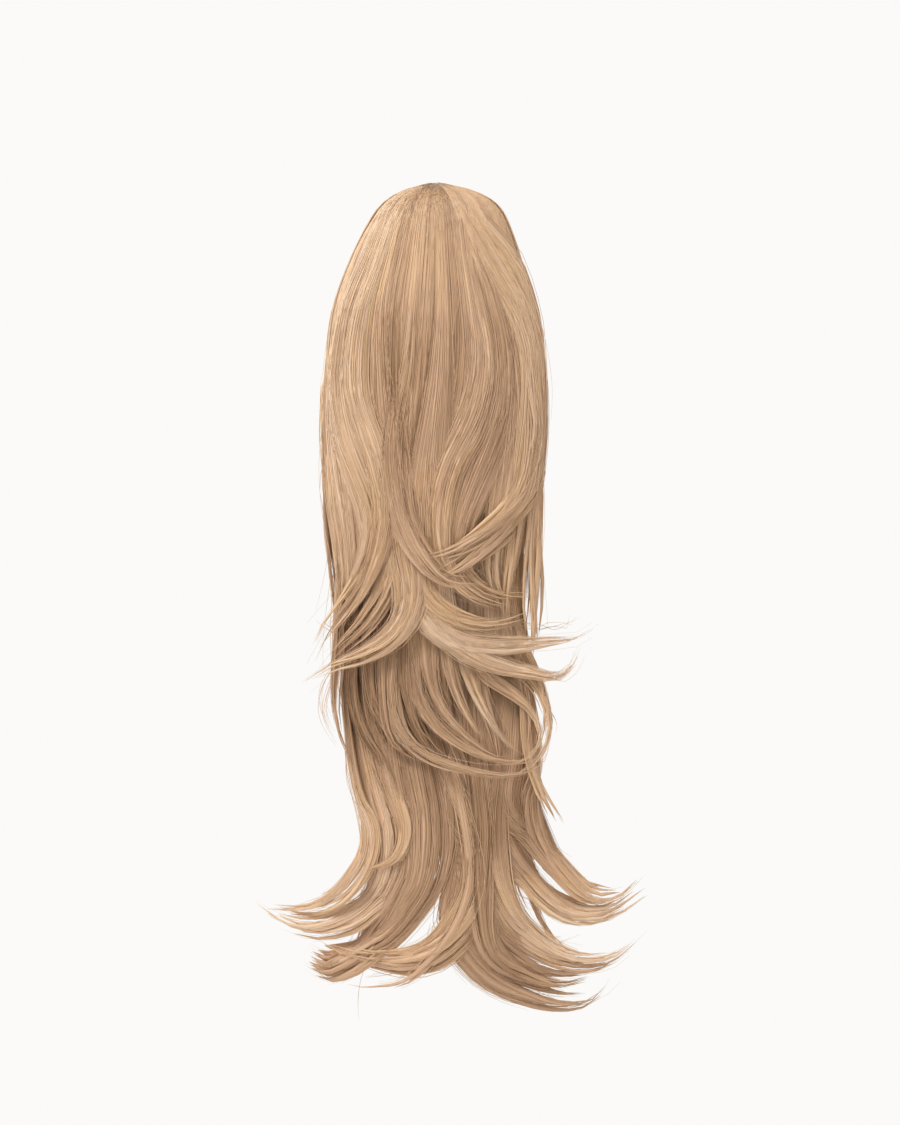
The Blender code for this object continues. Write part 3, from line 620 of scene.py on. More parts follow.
long_locks = []
for n, row in enumerate(LONG_FRONT):
    guide = front_guide(row_points(row, 3), row[1] / 1000, long_inset)
    splay, tip = LONG_ENDS.get(n, (0.3, 0.8))
    tones, tones_at = LONG_SHADED_TONES[0 if row[3] < LONG_SHADE_EDGE else 1]
    long_locks.append(hair_lock(
        guide, row[0] / 1000, 0.0085, (*tones, row[2]), (0.56, 0.74), (0.52, 0.76), 9, 24,
        0.5 * math.sin(2.1 * n),
        ridge=0.0024, turn=(0.64, 0.76), tone_at=tones_at, full=0.78,
        layer=(0.0, 0.0012 * math.cos(math.pi * n)),
        splay=splay, tip=tip
    ))
for n, (share, start, fall) in enumerate(LONG_REAR):
    out = (0.75 if n % 2 else 1.0) * math.copysign(1.0, share) * (0.4 + 0.9 * (1.0 - abs(share)))
    guide = rear_guide(
        share, start, 0.80, out, fall, 0.010, long_inset, wave=5.0 * math.sin(2.3 * n), fixed=True
    )
    long_locks.append(hair_lock(
        guide, 0.016, 0.010, (0.52, 0.52, 0.52, 0.52), (0.50, 0.76), (0.20, 0.78), 8, 19,
        0.5 * math.sin(1.3 * n),
        tone_at=LONG_SHADED_TONES[0][1], start=0.0015
    ))
sew_weft(long_locks, True)
# The massed wisps are painted a little darker than the loose strands, for the shade they lie in beneath them.
LONG_HAIR = (
    hair_material("long_hair_mass", 0.93, 0.80, 0.62, 150.0, 0.60, 0.0003),
    hair_material("long_hair_strand", 1.00, 0.84, 0.62, 120.0, 0.20, 0.0001),
)
hair_pieces("long_front", long_locks[:len(LONG_FRONT)], 11, "long_tier", LONG_HAIR)
hair_pieces("long_back", long_locks[len(LONG_FRONT):], 12, "long_tier", LONG_HAIR)


# Middle hair
# The second weft. It comes out from under the crown's flicks and its locks cross over the long hair.
MIDDLE_INSET = 0.0097
MIDDLE_EMERGES = ((0.0, 0.50, 0.57, 0.64, 0.74, 1.0), (1.0, 1.0, 0.66, 0.40, 0.32, 0.30))
# width, stand and layer in millimetres, tone, then as above; the low tones of the locks on the left are
# painted shade, for the hollow under the crown's left flicks
MIDDLE_FRONT = (
    (10, 2, 0.0, .36, -.73, .120, -.85, .300, -.85, .460, -.85, .567, -.86, .604, -.87, .642, -.82, .682,
     -.70, .720),
    (15, 1, -2.0, .10, -.63, .120, -.73, .300, -.73, .460, -.73, .563, -.74, .601, -.72, .642, -.62, .679,
     -.44, .716, -.33, .751),
    (15, 1, -2.0, .12, -.49, .120, -.57, .300, -.57, .460, -.57, .563, -.57, .601, -.52, .642, -.37, .679,
     -.20, .713, -.10, .747),
    (8, 4, 0.4, .34, -.38, .120, -.44, .300, -.44, .460, -.44, .563, -.45, .601, -.43, .648, -.36, .682,
     -.18, .703, .10, .716),
    (7, 9, 1.8, .50, -.32, .120, -.37, .300, -.37, .460, -.37, .553, -.37, .594, -.36, .638, -.26, .679,
     -.06, .702, .20, .715, .49, .723, .77, .720, .94, .706, .99, .684),
    (14, 1, -2.0, .20, -.24, .120, -.28, .300, -.28, .460, -.28, .563, -.28, .601, -.23, .642, -.12, .679,
     .05, .713, .15, .747),
    (8, 7, 1.2, .54, -.17, .120, -.20, .300, -.20, .460, -.20, .546, -.18, .587, -.14, .631, .00, .665,
     .22, .691, .47, .707, .69, .712, .84, .704, .88, .688),
    (8, 5, 0.4, .48, -.06, .120, -.07, .300, -.07, .460, -.07, .546, -.06, .587, .00, .628, .15, .659,
     .35, .686, .54, .704, .72, .706),
    (14, 1, -2.0, .38, .01, .120, .02, .300, .02, .460, .02, .563, .03, .601, .07, .638, .16, .679,
     .27, .716, .32, .744),
    (8, 4, 0.8, .64, .07, .120, .09, .300, .09, .460, .09, .546, .11, .587, .20, .628, .32, .662, .44, .689,
     .61, .707),
    (11, 3, 0.6, .74, .18, .120, .21, .300, .21, .460, .21, .539, .25, .580, .35, .621, .49, .659,
     .62, .686, .77, .703),
    (9, 8, 1.8, .72, .26, .120, .30, .300, .30, .460, .30, .533, .33, .573, .43, .601, .64, .622, .80, .643,
     .89, .667, .87, .691, .75, .707, .58, .712),
    (14, 1, -1.6, .50, .33, .120, .38, .300, .38, .460, .38, .563, .39, .601, .43, .638, .52, .676,
     .57, .716, .62, .747),
    (10, 7, 1.2, .80, .42, .120, .49, .300, .49, .460, .49, .533, .52, .570, .68, .592, .85, .611,
     .94, .633, .99, .659, .96, .686, .85, .708, .70, .721),
    (14, 2, -0.8, .70, .55, .120, .64, .300, .60, .460, .60, .546, .67, .580, .75, .614, .82, .648,
     .83, .679, .79, .713),
    (9, 3, 0.6, .56, .62, .120, .70, .300, .64, .460, .64, .546, .74, .587, .79, .628, .79, .669, .83, .706,
     .90, .737, .98, .761, 1.06, .780),
    (10, 3, 0.0, .72, .72, .120, .82, .300, .75, .400, .68, .460, .68, .533, .78, .573, .92, .614,
     .97, .648, .97, .676, .91, .703),
)
MIDDLE_ENDS = {15: (0.8, 0.94)}
# right of this edge the locks are light at their root, and painted darker where they come out from under the
# crown, for the shade of the crown's flicks
MIDDLE_SHADE_EDGE = -0.2
MIDDLE_ROOT_TONE = 0.64
MIDDLE_SHADE = 0.22
MIDDLE_TONES_AT = (0.56, 0.605, 0.665)
MIDDLE_REAR_SHARES = (0.62, 0.72, 0.82, 0.92)


def middle_inset(drop):
    return MIDDLE_INSET * np.interp(drop, *MIDDLE_EMERGES)


def middle_rear_lock(n, share):
    out = math.copysign(1.0, share) * (1.1 * abs(share) - 0.74)
    guide = rear_guide(share, 0.10, 0.63, out, 0.10, 0.008, middle_inset, wave=4.0 * math.sin(1.9 * n))
    return hair_lock(
        guide, 0.016, 0.0050, (0.50, 0.50, 0.50), (0.34, 0.60), (0.15, 0.62), 7, 18, 0.4 * math.sin(1.7 * n),
        tone_at=MIDDLE_TONES_AT
    )


middle_left = [middle_rear_lock(n, -share) for n, share in enumerate(reversed(MIDDLE_REAR_SHARES))]
middle_right = [middle_rear_lock(n + 5, share) for n, share in enumerate(MIDDLE_REAR_SHARES)]
middle_front = []
for n, row in enumerate(MIDDLE_FRONT):
    guide = front_guide(row_points(row, 4), row[1] / 1000, middle_inset)
    tones = (row[3], row[3], row[3])
    # painted shade where the lock comes out from under the crown
    if row[4] >= MIDDLE_SHADE_EDGE:
        tones = (max(row[3], MIDDLE_ROOT_TONE), row[3] - MIDDLE_SHADE, row[3])
    splay, tip = MIDDLE_ENDS.get(n, (0.3, 0.76))
    middle_front.append(hair_lock(
        guide, row[0] / 1000, 0.0045, tones, (0.48, 0.62), (0.38, 0.64), 9, 22, 0.5 * math.sin(1.9 * n),
        turn=(0.56, 0.66), layer=(0.0, row[2] / 1000), splay=splay, tip=tip, tone_at=MIDDLE_TONES_AT
    ))
sew_weft([*middle_left, *middle_front, *middle_right], False)
# The massed wisps are painted a little darker than the loose strands, for the shade they lie in beneath them.
MIDDLE_HAIR = (
    hair_material("middle_hair_mass", 0.90, 0.62, 0.85, 150.0, 0.60, 0.0003),
    hair_material("middle_hair_strand", 0.96, 0.66, 0.85, 120.0, 0.20, 0.0001),
)
hair_pieces("middle_front", middle_front, 21, "middle_tier", MIDDLE_HAIR)
hair_pieces("middle_sides", middle_left + middle_right, 22, "middle_tier", MIDDLE_HAIR)


# Crown hair
# The outer weft, short and layered. It fans from a whorl on top of the cap, lies smooth over the belly
# and parts into locks that sweep, cross and flick up at their ends.
CROWN_INSET = 0.0031
CROWN_REAR_INSET = 0.0020
CROWN_FALL = (0.000, 0.010, 0.028, 0.055, 0.095)
# place in the fan, width and stand in millimetres, layer in millimetres above and below the belly, tone on
# the crown, on the belly and below it, then x and drop for each point; the dark belly tones of the middle
# locks are painted shade, for the valley they lie in
CROWN_FRONT = (
    (-.97, 16, 3, 0.0, 0.0, .68, .72, .64, -.91, .161, -.95, .246, -.92, .331, -.87, .400, -.82, .460,
     -.81, .510, -.87, .550),
    (-.90, 18, 3, -0.4, -0.8, .72, .76, .66, -.84, .161, -.88, .246, -.84, .331, -.76, .400, -.72, .460,
     -.73, .510, -.80, .545, -.94, .572),
    (-.80, 15, 6, 1.0, 1.6, .72, .68, .60, -.77, .150, -.84, .200, -.88, .250, -.82, .310, -.69, .362,
     -.59, .406, -.58, .441, -.65, .475, -.80, .515, -.97, .548, -1.04, .575),
    (-.64, 16, 7, 1.3, 2.2, .76, .70, .50, -.64, .150, -.71, .200, -.72, .250, -.65, .293, -.52, .344,
     -.44, .406, -.47, .4455, -.60, .494, -.80, .536, -.98, .573, -1.05, .590),
    (-.50, 20, 6, -0.6, -0.6, .50, .28, .50, -.47, .161, -.46, .258, -.40, .343, -.34, .415, -.41, .488,
     -.61, .539, -.80, .567, -.99, .594),
    (-.34, 20, 10, -0.4, 1.4, .38, .14, .62, -.33, .161, -.33, .270, -.30, .355, -.25, .439, -.19, .502,
     -.25, .539, -.39, .563, -.61, .581, -.87, .594, -1.11, .613, -1.22, .619),
    (-.20, 20, 12, 0.6, 1.2, .54, .28, .44, -.20, .161, -.25, .230, -.33, .290, -.35, .340, -.31, .390,
     -.22, .433, -.03, .474, .15, .491, .45, .488),
    (-.07, 20, 9, -0.6, 0.4, .38, .22, .54, -.08, .161, -.12, .250, -.18, .340, -.16, .420, -.12, .490,
     -.01, .517, .17, .533, .41, .541, .64, .536, .87, .523),
    (.06, 20, 10, 0.8, 0.2, .54, .34, .82, .06, .161, .03, .250, -.04, .340, -.08, .430, -.10, .500,
     -.07, .527, .07, .550, .30, .564, .66, .567, 1.00, .563, 1.22, .559, 1.33, .548),
    (.20, 17, 8, -0.4, 1.4, .32, .24, .80, .20, .161, .20, .230, .10, .310, .01, .390, -.02, .460,
     .01, .512, .12, .553, .34, .580, .60, .594, .85, .602, 1.05, .607, 1.18, .593, 1.25, .570),
    (.34, 17, 6, 1.2, 1.6, .48, .46, .60, .34, .150, .42, .208, .39, .259, .29, .303, .15, .344, .08, .389,
     .06, .433, .10, .470, .26, .500, .48, .515, .74, .520),
    (.48, 17, 3, 0.2, 0.6, .40, .34, .62, .47, .120, .58, .180, .62, .240, .58, .290, .46, .335, .32, .380,
     .22, .420, .18, .450, .24, .480, .42, .500, .62, .508, .83, .505),
    (.64, 18, 3, -0.4, -0.4, .40, .38, .62, .60, .161, .66, .258, .64, .331, .54, .415, .50, .476,
     .62, .520, .80, .545),
    (.80, 18, 3, 0.0, 0.0, .50, .50, .54, .73, .161, .80, .258, .79, .331, .69, .415, .62, .490, .62, .560),
    (.94, 13, 2, 0.6, 0.6, .52, .56, .50, .83, .161, .88, .258, .89, .331, .87, .403, .86, .464, .86, .512,
     .86, .545, .86, .574),
)
# two broad locks laid over the others, from beside the parting to the right edge and back in
CROWN_SWEEP = (
    (.34, 18, 7, 1.8, 2.2, .54, .56, .48, .34, .064, .49, .104, .66, .142, .79, .185, .84, .240, .83, .310,
     .77, .372, .65, .410, .46, .441, .26, .465, .06, .481, -.10, .487),
    (.56, 19, 8, 1.4, 2.4, .60, .60, .48, .60, .094, .75, .140, .84, .188, .88, .245, .88, .310, .82, .367,
     .66, .404, .42, .432, .20, .450, .00, .460, -.16, .461),
)
CROWN_ENDS = {8: (0.06, 0.82), 9: (0.10, 0.80), 14: (0.75, 0.92), 15: (0.4, 0.84), 16: (0.4, 0.84)}
CROWN_POINTED = (8, 9)
# the locks beside the sides stand no higher than they do
CROWN_BESIDE = (0, 14)
CROWN_SIDE_RIDGE = 0.0005
CROWN_TONES_AT = (0.12, 0.19, 0.33, 0.46)
CROWN_REAR_EDGE = 93.0
CROWN_REAR_SHARES = (0.06, 0.32, 0.58, 0.82)


def crown_inset(drop):
    return np.full(np.shape(drop), CROWN_INSET)


def crown_rear_inset(drop):
    return np.full(np.shape(drop), CROWN_REAR_INSET)


def crown_rear_lock(n, share):
    out = math.copysign(1.0, share) * (0.37 * abs(share) - 0.10)
    guide = rear_guide(
        share, 0.0, 0.46, out, 0.10, 0.008, crown_rear_inset, wave=4.0 * math.sin(2.3 * n),
        edge=CROWN_REAR_EDGE
    )
    # painted light: the lighter tones on the crown lift the shadow along the crown's rim
    return hair_lock(
        guide, 0.015, 0.0058, (0.72, 0.67, 0.60, 0.50), (0.26, 0.46), (0.05, 0.48), 9, 19,
        0.4 * math.sin(1.1 * n),
        tone_at=CROWN_TONES_AT, ridge=CROWN_SIDE_RIDGE
    )


crown_left = [crown_rear_lock(n, -share) for n, share in enumerate(reversed(CROWN_REAR_SHARES))]
crown_right = [crown_rear_lock(n + 5, share) for n, share in enumerate(CROWN_REAR_SHARES)]
crown_front = []
for n, row in enumerate(CROWN_FRONT + CROWN_SWEEP):
    fan = row[0]
    points = row_points(row, 8)
    top = [(fan * form(1 if fan < 0 else 2, drop), drop) for drop in CROWN_FALL if drop < points[0][1] - 0.02]
    guide = front_guide([*top, *points], row[2] / 1000, crown_inset)
    splay, tip = CROWN_ENDS.get(n, (0.25, 0.76))
    tones = (row[5], row[6], row[6], row[7])
    crown_front.append(hair_lock(
        guide, row[1] / 1000, 0.0062, tones, (0.14, 0.42), (0.08, 0.46), 12, 24, 0.5 * math.sin(2.7 * n),
        ridge=CROWN_SIDE_RIDGE if n in CROWN_BESIDE else 0.0020 + 0.0006 * (n % 3),
        layer=(row[3] / 1000, row[4] / 1000), full=0.74, splay=splay, tip=tip,
        tone_at=CROWN_TONES_AT, swing=0.0005 if n in CROWN_POINTED else 0.0013,
        ragged=0.5 if n in CROWN_POINTED else 1.33
    ))
crown_sweep = crown_front[len(CROWN_FRONT):]
crown_front = crown_front[:len(CROWN_FRONT)]
sew_weft([*crown_left, *crown_front, *crown_right], False)
# The massed wisps are painted a little darker than the loose strands, for the shade they lie in beneath them.
CROWN_HAIR = (
    hair_material("crown_hair_mass", 0.92, 0.90, 0.30, 150.0, 0.60, 0.0003),
    hair_material("crown_hair_strand", 0.96, 0.90, 0.30, 120.0, 0.20, 0.0001),
)
hair_pieces("crown_front_left", crown_front[:8], 31, "crown_tier", CROWN_HAIR)
hair_pieces("crown_front_right", crown_front[8:] + crown_sweep, 32, "crown_tier", CROWN_HAIR)
hair_pieces("crown_sides", crown_left + crown_right, 33, "crown_tier", CROWN_HAIR)


# Loose strands
# Single fibres that have come away from their locks. Some cross the hair, and the finest hang clear of its
# edges and ends. They are held by the same wefts, and are as fine as the strands of the locks.
LOOSE_RINGS = 18
LOOSE_RADIUS = 0.00017
LOOSE_PER_LOCK = 5
# fibres, spread and stand in millimetres, tone, then x in shares of the half width and drop for each point
TENDRILS = (
    (7, 5, 4, .50, .10, .398, .30, .438, .55, .475, .72, .500, .80, .530),
    (6, 4, 5, .62, .34, .360, .40, .403, .50, .440, .60, .478, .66, .510),
    (6, 5, 6, .58, .80, .330, .72, .385, .62, .430, .46, .462, .22, .486),
    (5, 4, 5, .66, .86, .360, .74, .420, .60, .455, .40, .480, .20, .498),
    (6, 4, 4, .56, .14, .420, .20, .455, .40, .486, .70, .502, .92, .498),
    (5, 4, 7, .60, .36, .560, .60, .585, .88, .604, 1.06, .609, 1.20, .590, 1.25, .566),
    (4, 3, 7, .50, .50, .580, .78, .600, .96, .612, 1.10, .606, 1.20, .586),
    (4, 3, 6, .66, .60, .530, .84, .545, 1.02, .548, 1.18, .540, 1.27, .528),
    (4, 3, 5, .50, -.50, .520, -.68, .545, -.86, .552, -1.00, .540, -1.08, .528),
    (5, 3, 3, .44, -.74, .560, -.88, .596, -.97, .620, -.99, .648, -.92, .672, -.82, .690),
    (4, 2, 3, .40, -.80, .580, -.90, .610, -.93, .640, -.86, .668),
    (5, 2, 4, .46, .86, .600, .95, .630, 1.01, .652, 1.06, .662, 1.05, .672, .99, .668),
    (3, 2, 5, .60, .20, .660, .12, .720, .10, .770, .20, .800, .36, .806, .52, .800),
    (4, 4, 6, .58, .10, .700, .22, .742, .40, .770, .62, .780, .84, .778),
    (3, 3, 6, .48, -.46, .740, -.42, .790, -.52, .830, -.66, .842, -.80, .838),
    (4, 3, 6, .56, .30, .790, .44, .840, .66, .872, .92, .886, 1.18, .888),
    (3, 2, 8, .56, .20, .830, .34, .880, .56, .914, .84, .930, 1.12, .932),
    (3, 4, 8, .44, .00, .900, -.10, .940, -.30, .960, -.52, .970, -.70, .966),
    (1, 0, 6, .40, -.46, .930, -.56, .955, -.62, .975, -.645, 1.000, -.64, 1.036),
)


def loose_inset(drop):
    return np.interp(
        drop, (0.0, 0.50, 0.60, 0.72, 0.80, 1.0), (0.0025, 0.0025, 0.0035, 0.0045, 0.0050, 0.0045)
    )


def smooth_shift(random, count, size):
    """A slow wander for each fibre, nothing at its root and its full size at its end."""
    t = np.linspace(0.0, 1.0, LOOSE_RINGS)
    phase = random.uniform(0.0, 2 * math.pi, (count, 1))
    turns = random.uniform(0.5, 1.3, (count, 1))
    drift = random.normal(0.0, size, (count, 1))
    wander = 0.6 * abs(drift) * (np.sin(2 * math.pi * turns * t + phase) - np.sin(phase))
    return (drift * t + wander) * ease(t / 0.4)


def loose_radius(s):
    """The radius at each ring of each fibre, thinner towards both its ends."""
    t = np.linspace(0.0, 1.0, LOOSE_RINGS)
    return LOOSE_RADIUS * np.broadcast_to(np.interp(t, (0.0, 0.1, 0.7, 1.0), (0.4, 1.0, 0.9, 0.3)), s.shape)


def tendril_batch(row, random):
    count, spread, stand, tone = row[0], row[1] / 1000, row[2] / 1000, row[3]
    guide = front_guide(row_points(row, 4), stand, loose_inset)
    t = np.linspace(0.0, 1.0, LOOSE_RINGS)
    start = random.uniform(0.0, 0.12, (count, 1)) * guide["length"]
    end = random.uniform(0.84, 1.0, (count, 1)) * guide["length"]
    s = start + (end - start) * t
    aside, out = along_guide(guide, "aside", s), along_guide(guide, "out", s)
    across = np.linspace(-0.5, 0.5, count)[:, None] * spread + smooth_shift(random, count, 0.0022)
    proud = random.uniform(0.0, 0.002, (count, 1)) + np.abs(smooth_shift(random, count, 0.0012))
    path = along_guide(guide, "place", s) + aside * across[..., None] + out * proud[..., None]
    radius = loose_radius(s)
    shade = np.clip(tone + random.normal(0.0, 0.12, (count, 1)), 0.05, 0.95) + 0.0 * s
    return path, aside, out, radius, radius, shade


def stray_batch(lock, count, random):
    """Fibres that leave a lock part way down and end a little away from it."""
    t = np.linspace(0.0, 1.0, LOOSE_RINGS)
    length = lock["guide"]["length"]
    start = random.uniform(0.15, 0.55, (count, 1)) * length
    end = start + random.uniform(0.35, 0.60, (count, 1)) * length
    end = np.minimum(end, random.uniform(0.96, 1.03, (count, 1)) * length)
    s = start + (end - start) * t
    place = random.uniform(-0.9, 0.9, (count, 1))
    path, aside, out, _, _, _, tone = held_in_lock(lock, s, place, place, np.full((count, 1), 0.4))
    path = path + aside * smooth_shift(random, count, 0.0045)[..., None]
    path = path + out * (0.0008 * ease(t / 0.2) + np.abs(smooth_shift(random, count, 0.0022)))[..., None]
    radius = loose_radius(s)
    shade = np.clip(tone + random.normal(0.06, 0.12, (count, 1)), 0.05, 0.95)
    return path, aside, out, radius, radius, shade


random = np.random.default_rng(41)
batches = [tendril_batch(row, random) for row in TENDRILS]
for lock in [*crown_front, *crown_sweep, *middle_front, *long_locks]:
    batches.append(stray_batch(lock, LOOSE_PER_LOCK, random))
loose = tubes_mesh("loose_strands", batches, STRAND_SIDES, STRAND_TONES)
loose.data.materials.append(hair_material("loose_strand", 1.0, 0.95, 0.30, 120.0, 0.20, 0.0001))
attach(loose, "root")


# Under hair
# Short backing hair fills the middle of the bundle below the cap, so that no light comes through between
# the locks. It is packed fibre, its colour painted dark for the shade of everything that hangs over it.
UNDER_DROPS = (0.152, 0.19, 0.24, 0.30, 0.37, 0.44, 0.51, 0.58, 0.63, 0.68, 0.72)
UNDER_INSET = 0.0200
UNDER_SIDES = 36


def deselect():
    for each in bpy.context.selected_objects:
        each.select_set(False)


def settle(made, name, smooth=True):
    """A finished primitive: named, its place in its mesh, its shading smooth."""
    made.name = name
    made.data.name = name
    bpy.ops.object.transform_apply(location=True, rotation=True, scale=True)
    if smooth:
        bpy.ops.object.shade_smooth()


def under_ring(drop):
    left, deep = half_axes(drop, False, UNDER_INSET)
    right, _ = half_axes(drop, True, UNDER_INSET)
    closing = 1.0 - 0.55 * ease((drop - 0.60) / 0.20)
    level = CROWN_Z - drop * HAIR_DROP
    return (right - left) / 2 * closing, (right + left) / 2 * closing, deep * closing, level


deselect()
middle_x, wide, deep, level = under_ring(UNDER_DROPS[0])
bpy.ops.mesh.primitive_circle_add(
    vertices=UNDER_SIDES, radius=wide, fill_type="NGON", location=(middle_x, CENTRE_Y, level)
)
under = bpy.context.object
bpy.ops.object.transform_apply(location=True, rotation=True, scale=True)
bpy.ops.object.mode_set(mode="EDIT")
bpy.ops.mesh.select_all(action="SELECT")
bpy.ops.transform.resize(value=(1.0, deep / wide, 1.0), center_override=(middle_x, CENTRE_Y, level))
for drop in UNDER_DROPS[1:]:
    next_x, next_wide, next_deep, next_level = under_ring(drop)
    shift = (next_x - middle_x, 0.0, next_level - level)
    bpy.ops.mesh.extrude_region_move(TRANSFORM_OT_translate={"value": shift})
    bpy.ops.transform.resize(
        value=(next_wide / wide, next_deep / deep, 1.0), center_override=(next_x, CENTRE_Y, next_level)
    )
    middle_x, wide, deep, level = next_x, next_wide, next_deep, next_level
bpy.ops.mesh.select_all(action="SELECT")
bpy.ops.mesh.normals_make_consistent(inside=False)
bpy.ops.object.mode_set(mode="OBJECT")
settle(under, "under_hair")
layer = under.data.uv_layers.new(name="OFBake")
for face in under.data.polygons:
    for corner in face.loop_indices:
        point = under.data.vertices[under.data.loops[corner].vertex_index].co
        turn = math.atan2(point.x - middle_x, CENTRE_Y - point.y) / math.pi
        fall = (CROWN_Z - point.z) / HAIR_DROP
        layer.data[corner].uv = (0.06 + 0.88 * abs(turn), min(max(fall, 0.02), 0.98))
# painted shade: the backing hair's colour is darkened to less than half
under.data.materials.append(hair_material("under_hair", 0.45, 0.9, 0.30, 160.0, 1.4, 0.0006))
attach(under, "root")
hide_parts("long_tier")


# Net cap
# The cap is an oval dome of fine stretch net, worn over the wearer's own bun or ponytail. The wefts are
# sewn to it in level tracks, and its mouth is closed by a gathered elastic hem with two rows of stitching.
CAP_HALF_WIDTH = 0.038
CAP_HALF_HEIGHT = 0.032
CAP_DEPTH = 0.028
CAP_OVAL = CAP_HALF_HEIGHT / CAP_HALF_WIDTH
ROOTS_WALL = 0.0012
TRACK_INSET = 0.0012
STITCH_STEPS = 4
NET_STEPS = 104
NET_RINGS = 52
NET_THREAD = 0.00045
HEM_HALF_WIDTH = 0.0030
HEM_HALF_THICKNESS = 0.0014
HEM_RADIUS = CAP_HALF_WIDTH - HEM_HALF_THICKNESS
HEM_SEAM = 0.42
HEM_STITCHES = 110
GATHERS = 58
TRACK_LEVELS = (-0.0235, -0.0155, -0.0075, 0.0005, 0.0085, 0.0165, 0.0240)
TRACK_HALF_HEIGHT = 0.0013


def cloth_material(name, colour, second, scale, roughness, weave_height):
    """Woven or knitted thread in two near tones, with its weave as bump."""
    made, tree, shader = start_material(name, {
        "Roughness": roughness, "Specular IOR Level": 0.25, "Sheen Weight": 0.25,
    })
    place = add_node(tree, "TexCoord", {}).outputs["Object"]
    weave = add_node(tree, "TexWave", {
        "Vector": place, "Scale": scale, "Distortion": 1.2, "Detail": 1.0,
    }, bands_direction="DIAGONAL").outputs["Fac"]
    patches = add_node(tree, "TexNoise", {"Vector": place, "Scale": 90.0, "Detail": 3.0}).outputs["Fac"]
    mixed = add_node(tree, "Math", {0: weave, 1: patches}, operation="MULTIPLY").outputs[0]
    tree.links.new(add_ramp(tree, mixed, ((0.10, second), (0.60, colour))), shader.inputs["Base Color"])
    add_bump(tree, shader, weave, 0.6, weave_height)
    return made


def dome(name, grow, steps, rings):
    """The cap's oval dome, grown outwards, open at its mouth."""
    deselect()
    bpy.ops.mesh.primitive_uv_sphere_add(
        segments=steps, ring_count=rings, radius=1.0, rotation=(math.pi / 2, 0.0, 0.0),
        scale=(CAP_HALF_WIDTH + grow, CAP_HALF_HEIGHT + grow, CAP_DEPTH + grow),
    )
    made = bpy.context.object
    bpy.ops.object.transform_apply(location=True, rotation=True, scale=True)
    bpy.ops.object.mode_set(mode="EDIT")
    bpy.ops.mesh.select_all(action="SELECT")
    bpy.ops.mesh.bisect(plane_co=(0.0, -0.0012, 0.0), plane_no=(0.0, 1.0, 0.0), clear_outer=True)
    bpy.ops.object.mode_set(mode="OBJECT")
    settle(made, name)
    return made


def finish_cap_piece(made, material, node="net_cap"):
    made.data.materials.append(material)
    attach(made, "root")
    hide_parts(node)


NET_NYLON = cloth_material("net_nylon", (0.72, 0.60, 0.46), (0.52, 0.41, 0.30), 900.0, 0.55, 0.0001)
net = dome("cap_net", -0.0004, NET_STEPS, NET_RINGS)
bpy.ops.object.mode_set(mode="EDIT")
bpy.ops.mesh.select_all(action="SELECT")
bpy.ops.mesh.unsubdivide(iterations=1)
bpy.ops.object.mode_set(mode="OBJECT")
threads = net.modifiers.new("threads", "WIREFRAME")
threads.thickness = NET_THREAD
threads.use_even_offset = False
bpy.ops.object.modifier_apply(modifier=threads.name)
finish_cap_piece(net, NET_NYLON)

# The sewn roots of the wefts lie close over the net, and are seen through it from inside the cap.
roots = dome("weft_roots", ROOTS_WALL, 64, 32)
wall = roots.modifiers.new("wall", "SOLIDIFY")
wall.thickness = ROOTS_WALL
wall.offset = 1.0
bpy.ops.object.modifier_apply(modifier=wall.name)
layer = roots.data.uv_layers.new(name="OFBake")
for face in roots.data.polygons:
    for corner in face.loop_indices:
        point = roots.data.vertices[roots.data.loops[corner].vertex_index].co
        layer.data[corner].uv = (0.06 + 0.88 * (point.x / 0.084 + 0.5), 0.04 + 0.92 * (0.5 - point.z / 0.072))
finish_cap_piece(roots, hair_material("weft_roots", 0.62, 0.8, 0.5, 150.0, 1.3, 0.0005))

tracks = []
stitch_batches = []
for level in TRACK_LEVELS:
    shrink = math.sqrt(1.0 - (level / CAP_HALF_HEIGHT) ** 2)
    wide = CAP_HALF_WIDTH * shrink - TRACK_INSET
    deep = CAP_DEPTH * shrink - TRACK_INSET
    deselect()
    bpy.ops.mesh.primitive_torus_add(
        major_segments=72, minor_segments=10, major_radius=wide, minor_radius=TRACK_HALF_HEIGHT,
        location=(0.0, 0.0, level)
    )
    track = bpy.context.object
    bpy.ops.object.transform_apply(location=True, rotation=True, scale=True)
    bpy.ops.object.mode_set(mode="EDIT")
    bpy.ops.mesh.select_all(action="SELECT")
    bpy.ops.transform.resize(value=(1.0, deep / wide, 1.0), center_override=(0.0, 0.0, level))
    bpy.ops.mesh.bisect(
        plane_co=(0.0, -0.0050, 0.0), plane_no=(0.0, 1.0, 0.0), clear_outer=True, use_fill=True
    )
    bpy.ops.object.mode_set(mode="OBJECT")
    for vertex in track.data.vertices:
        # A track is a flat tape: its round section is pressed against the net.
        radial = Vector((vertex.co.x / wide, vertex.co.y / deep))
        vertex.co.xy -= Vector((vertex.co.x, vertex.co.y)) * (radial.length - 1.0) * 0.72
    tracks.append(track)
    for n in range(int(60 * shrink)):
        turn = math.pi * (0.08 + 0.84 * n / int(60 * shrink - 1))
        lean = 0.011 * (1.0 if n % 2 else -1.0)
        rows = []
        for k in range(STITCH_STEPS + 1):
            share = k / STITCH_STEPS - 0.5
            angle = turn + lean * share
            proud = 0.0008 + 0.0002 * math.sin(math.pi * k / STITCH_STEPS)
            rows.append((
                -(wide - proud) * math.cos(angle), -(deep - proud) * math.sin(angle),
                level + 2.3 * TRACK_HALF_HEIGHT * share
            ))
        stitch_batches.append(rows)
deselect()
for track in tracks:
    track.select_set(True)
bpy.context.view_layer.objects.active = tracks[0]
bpy.ops.object.join()
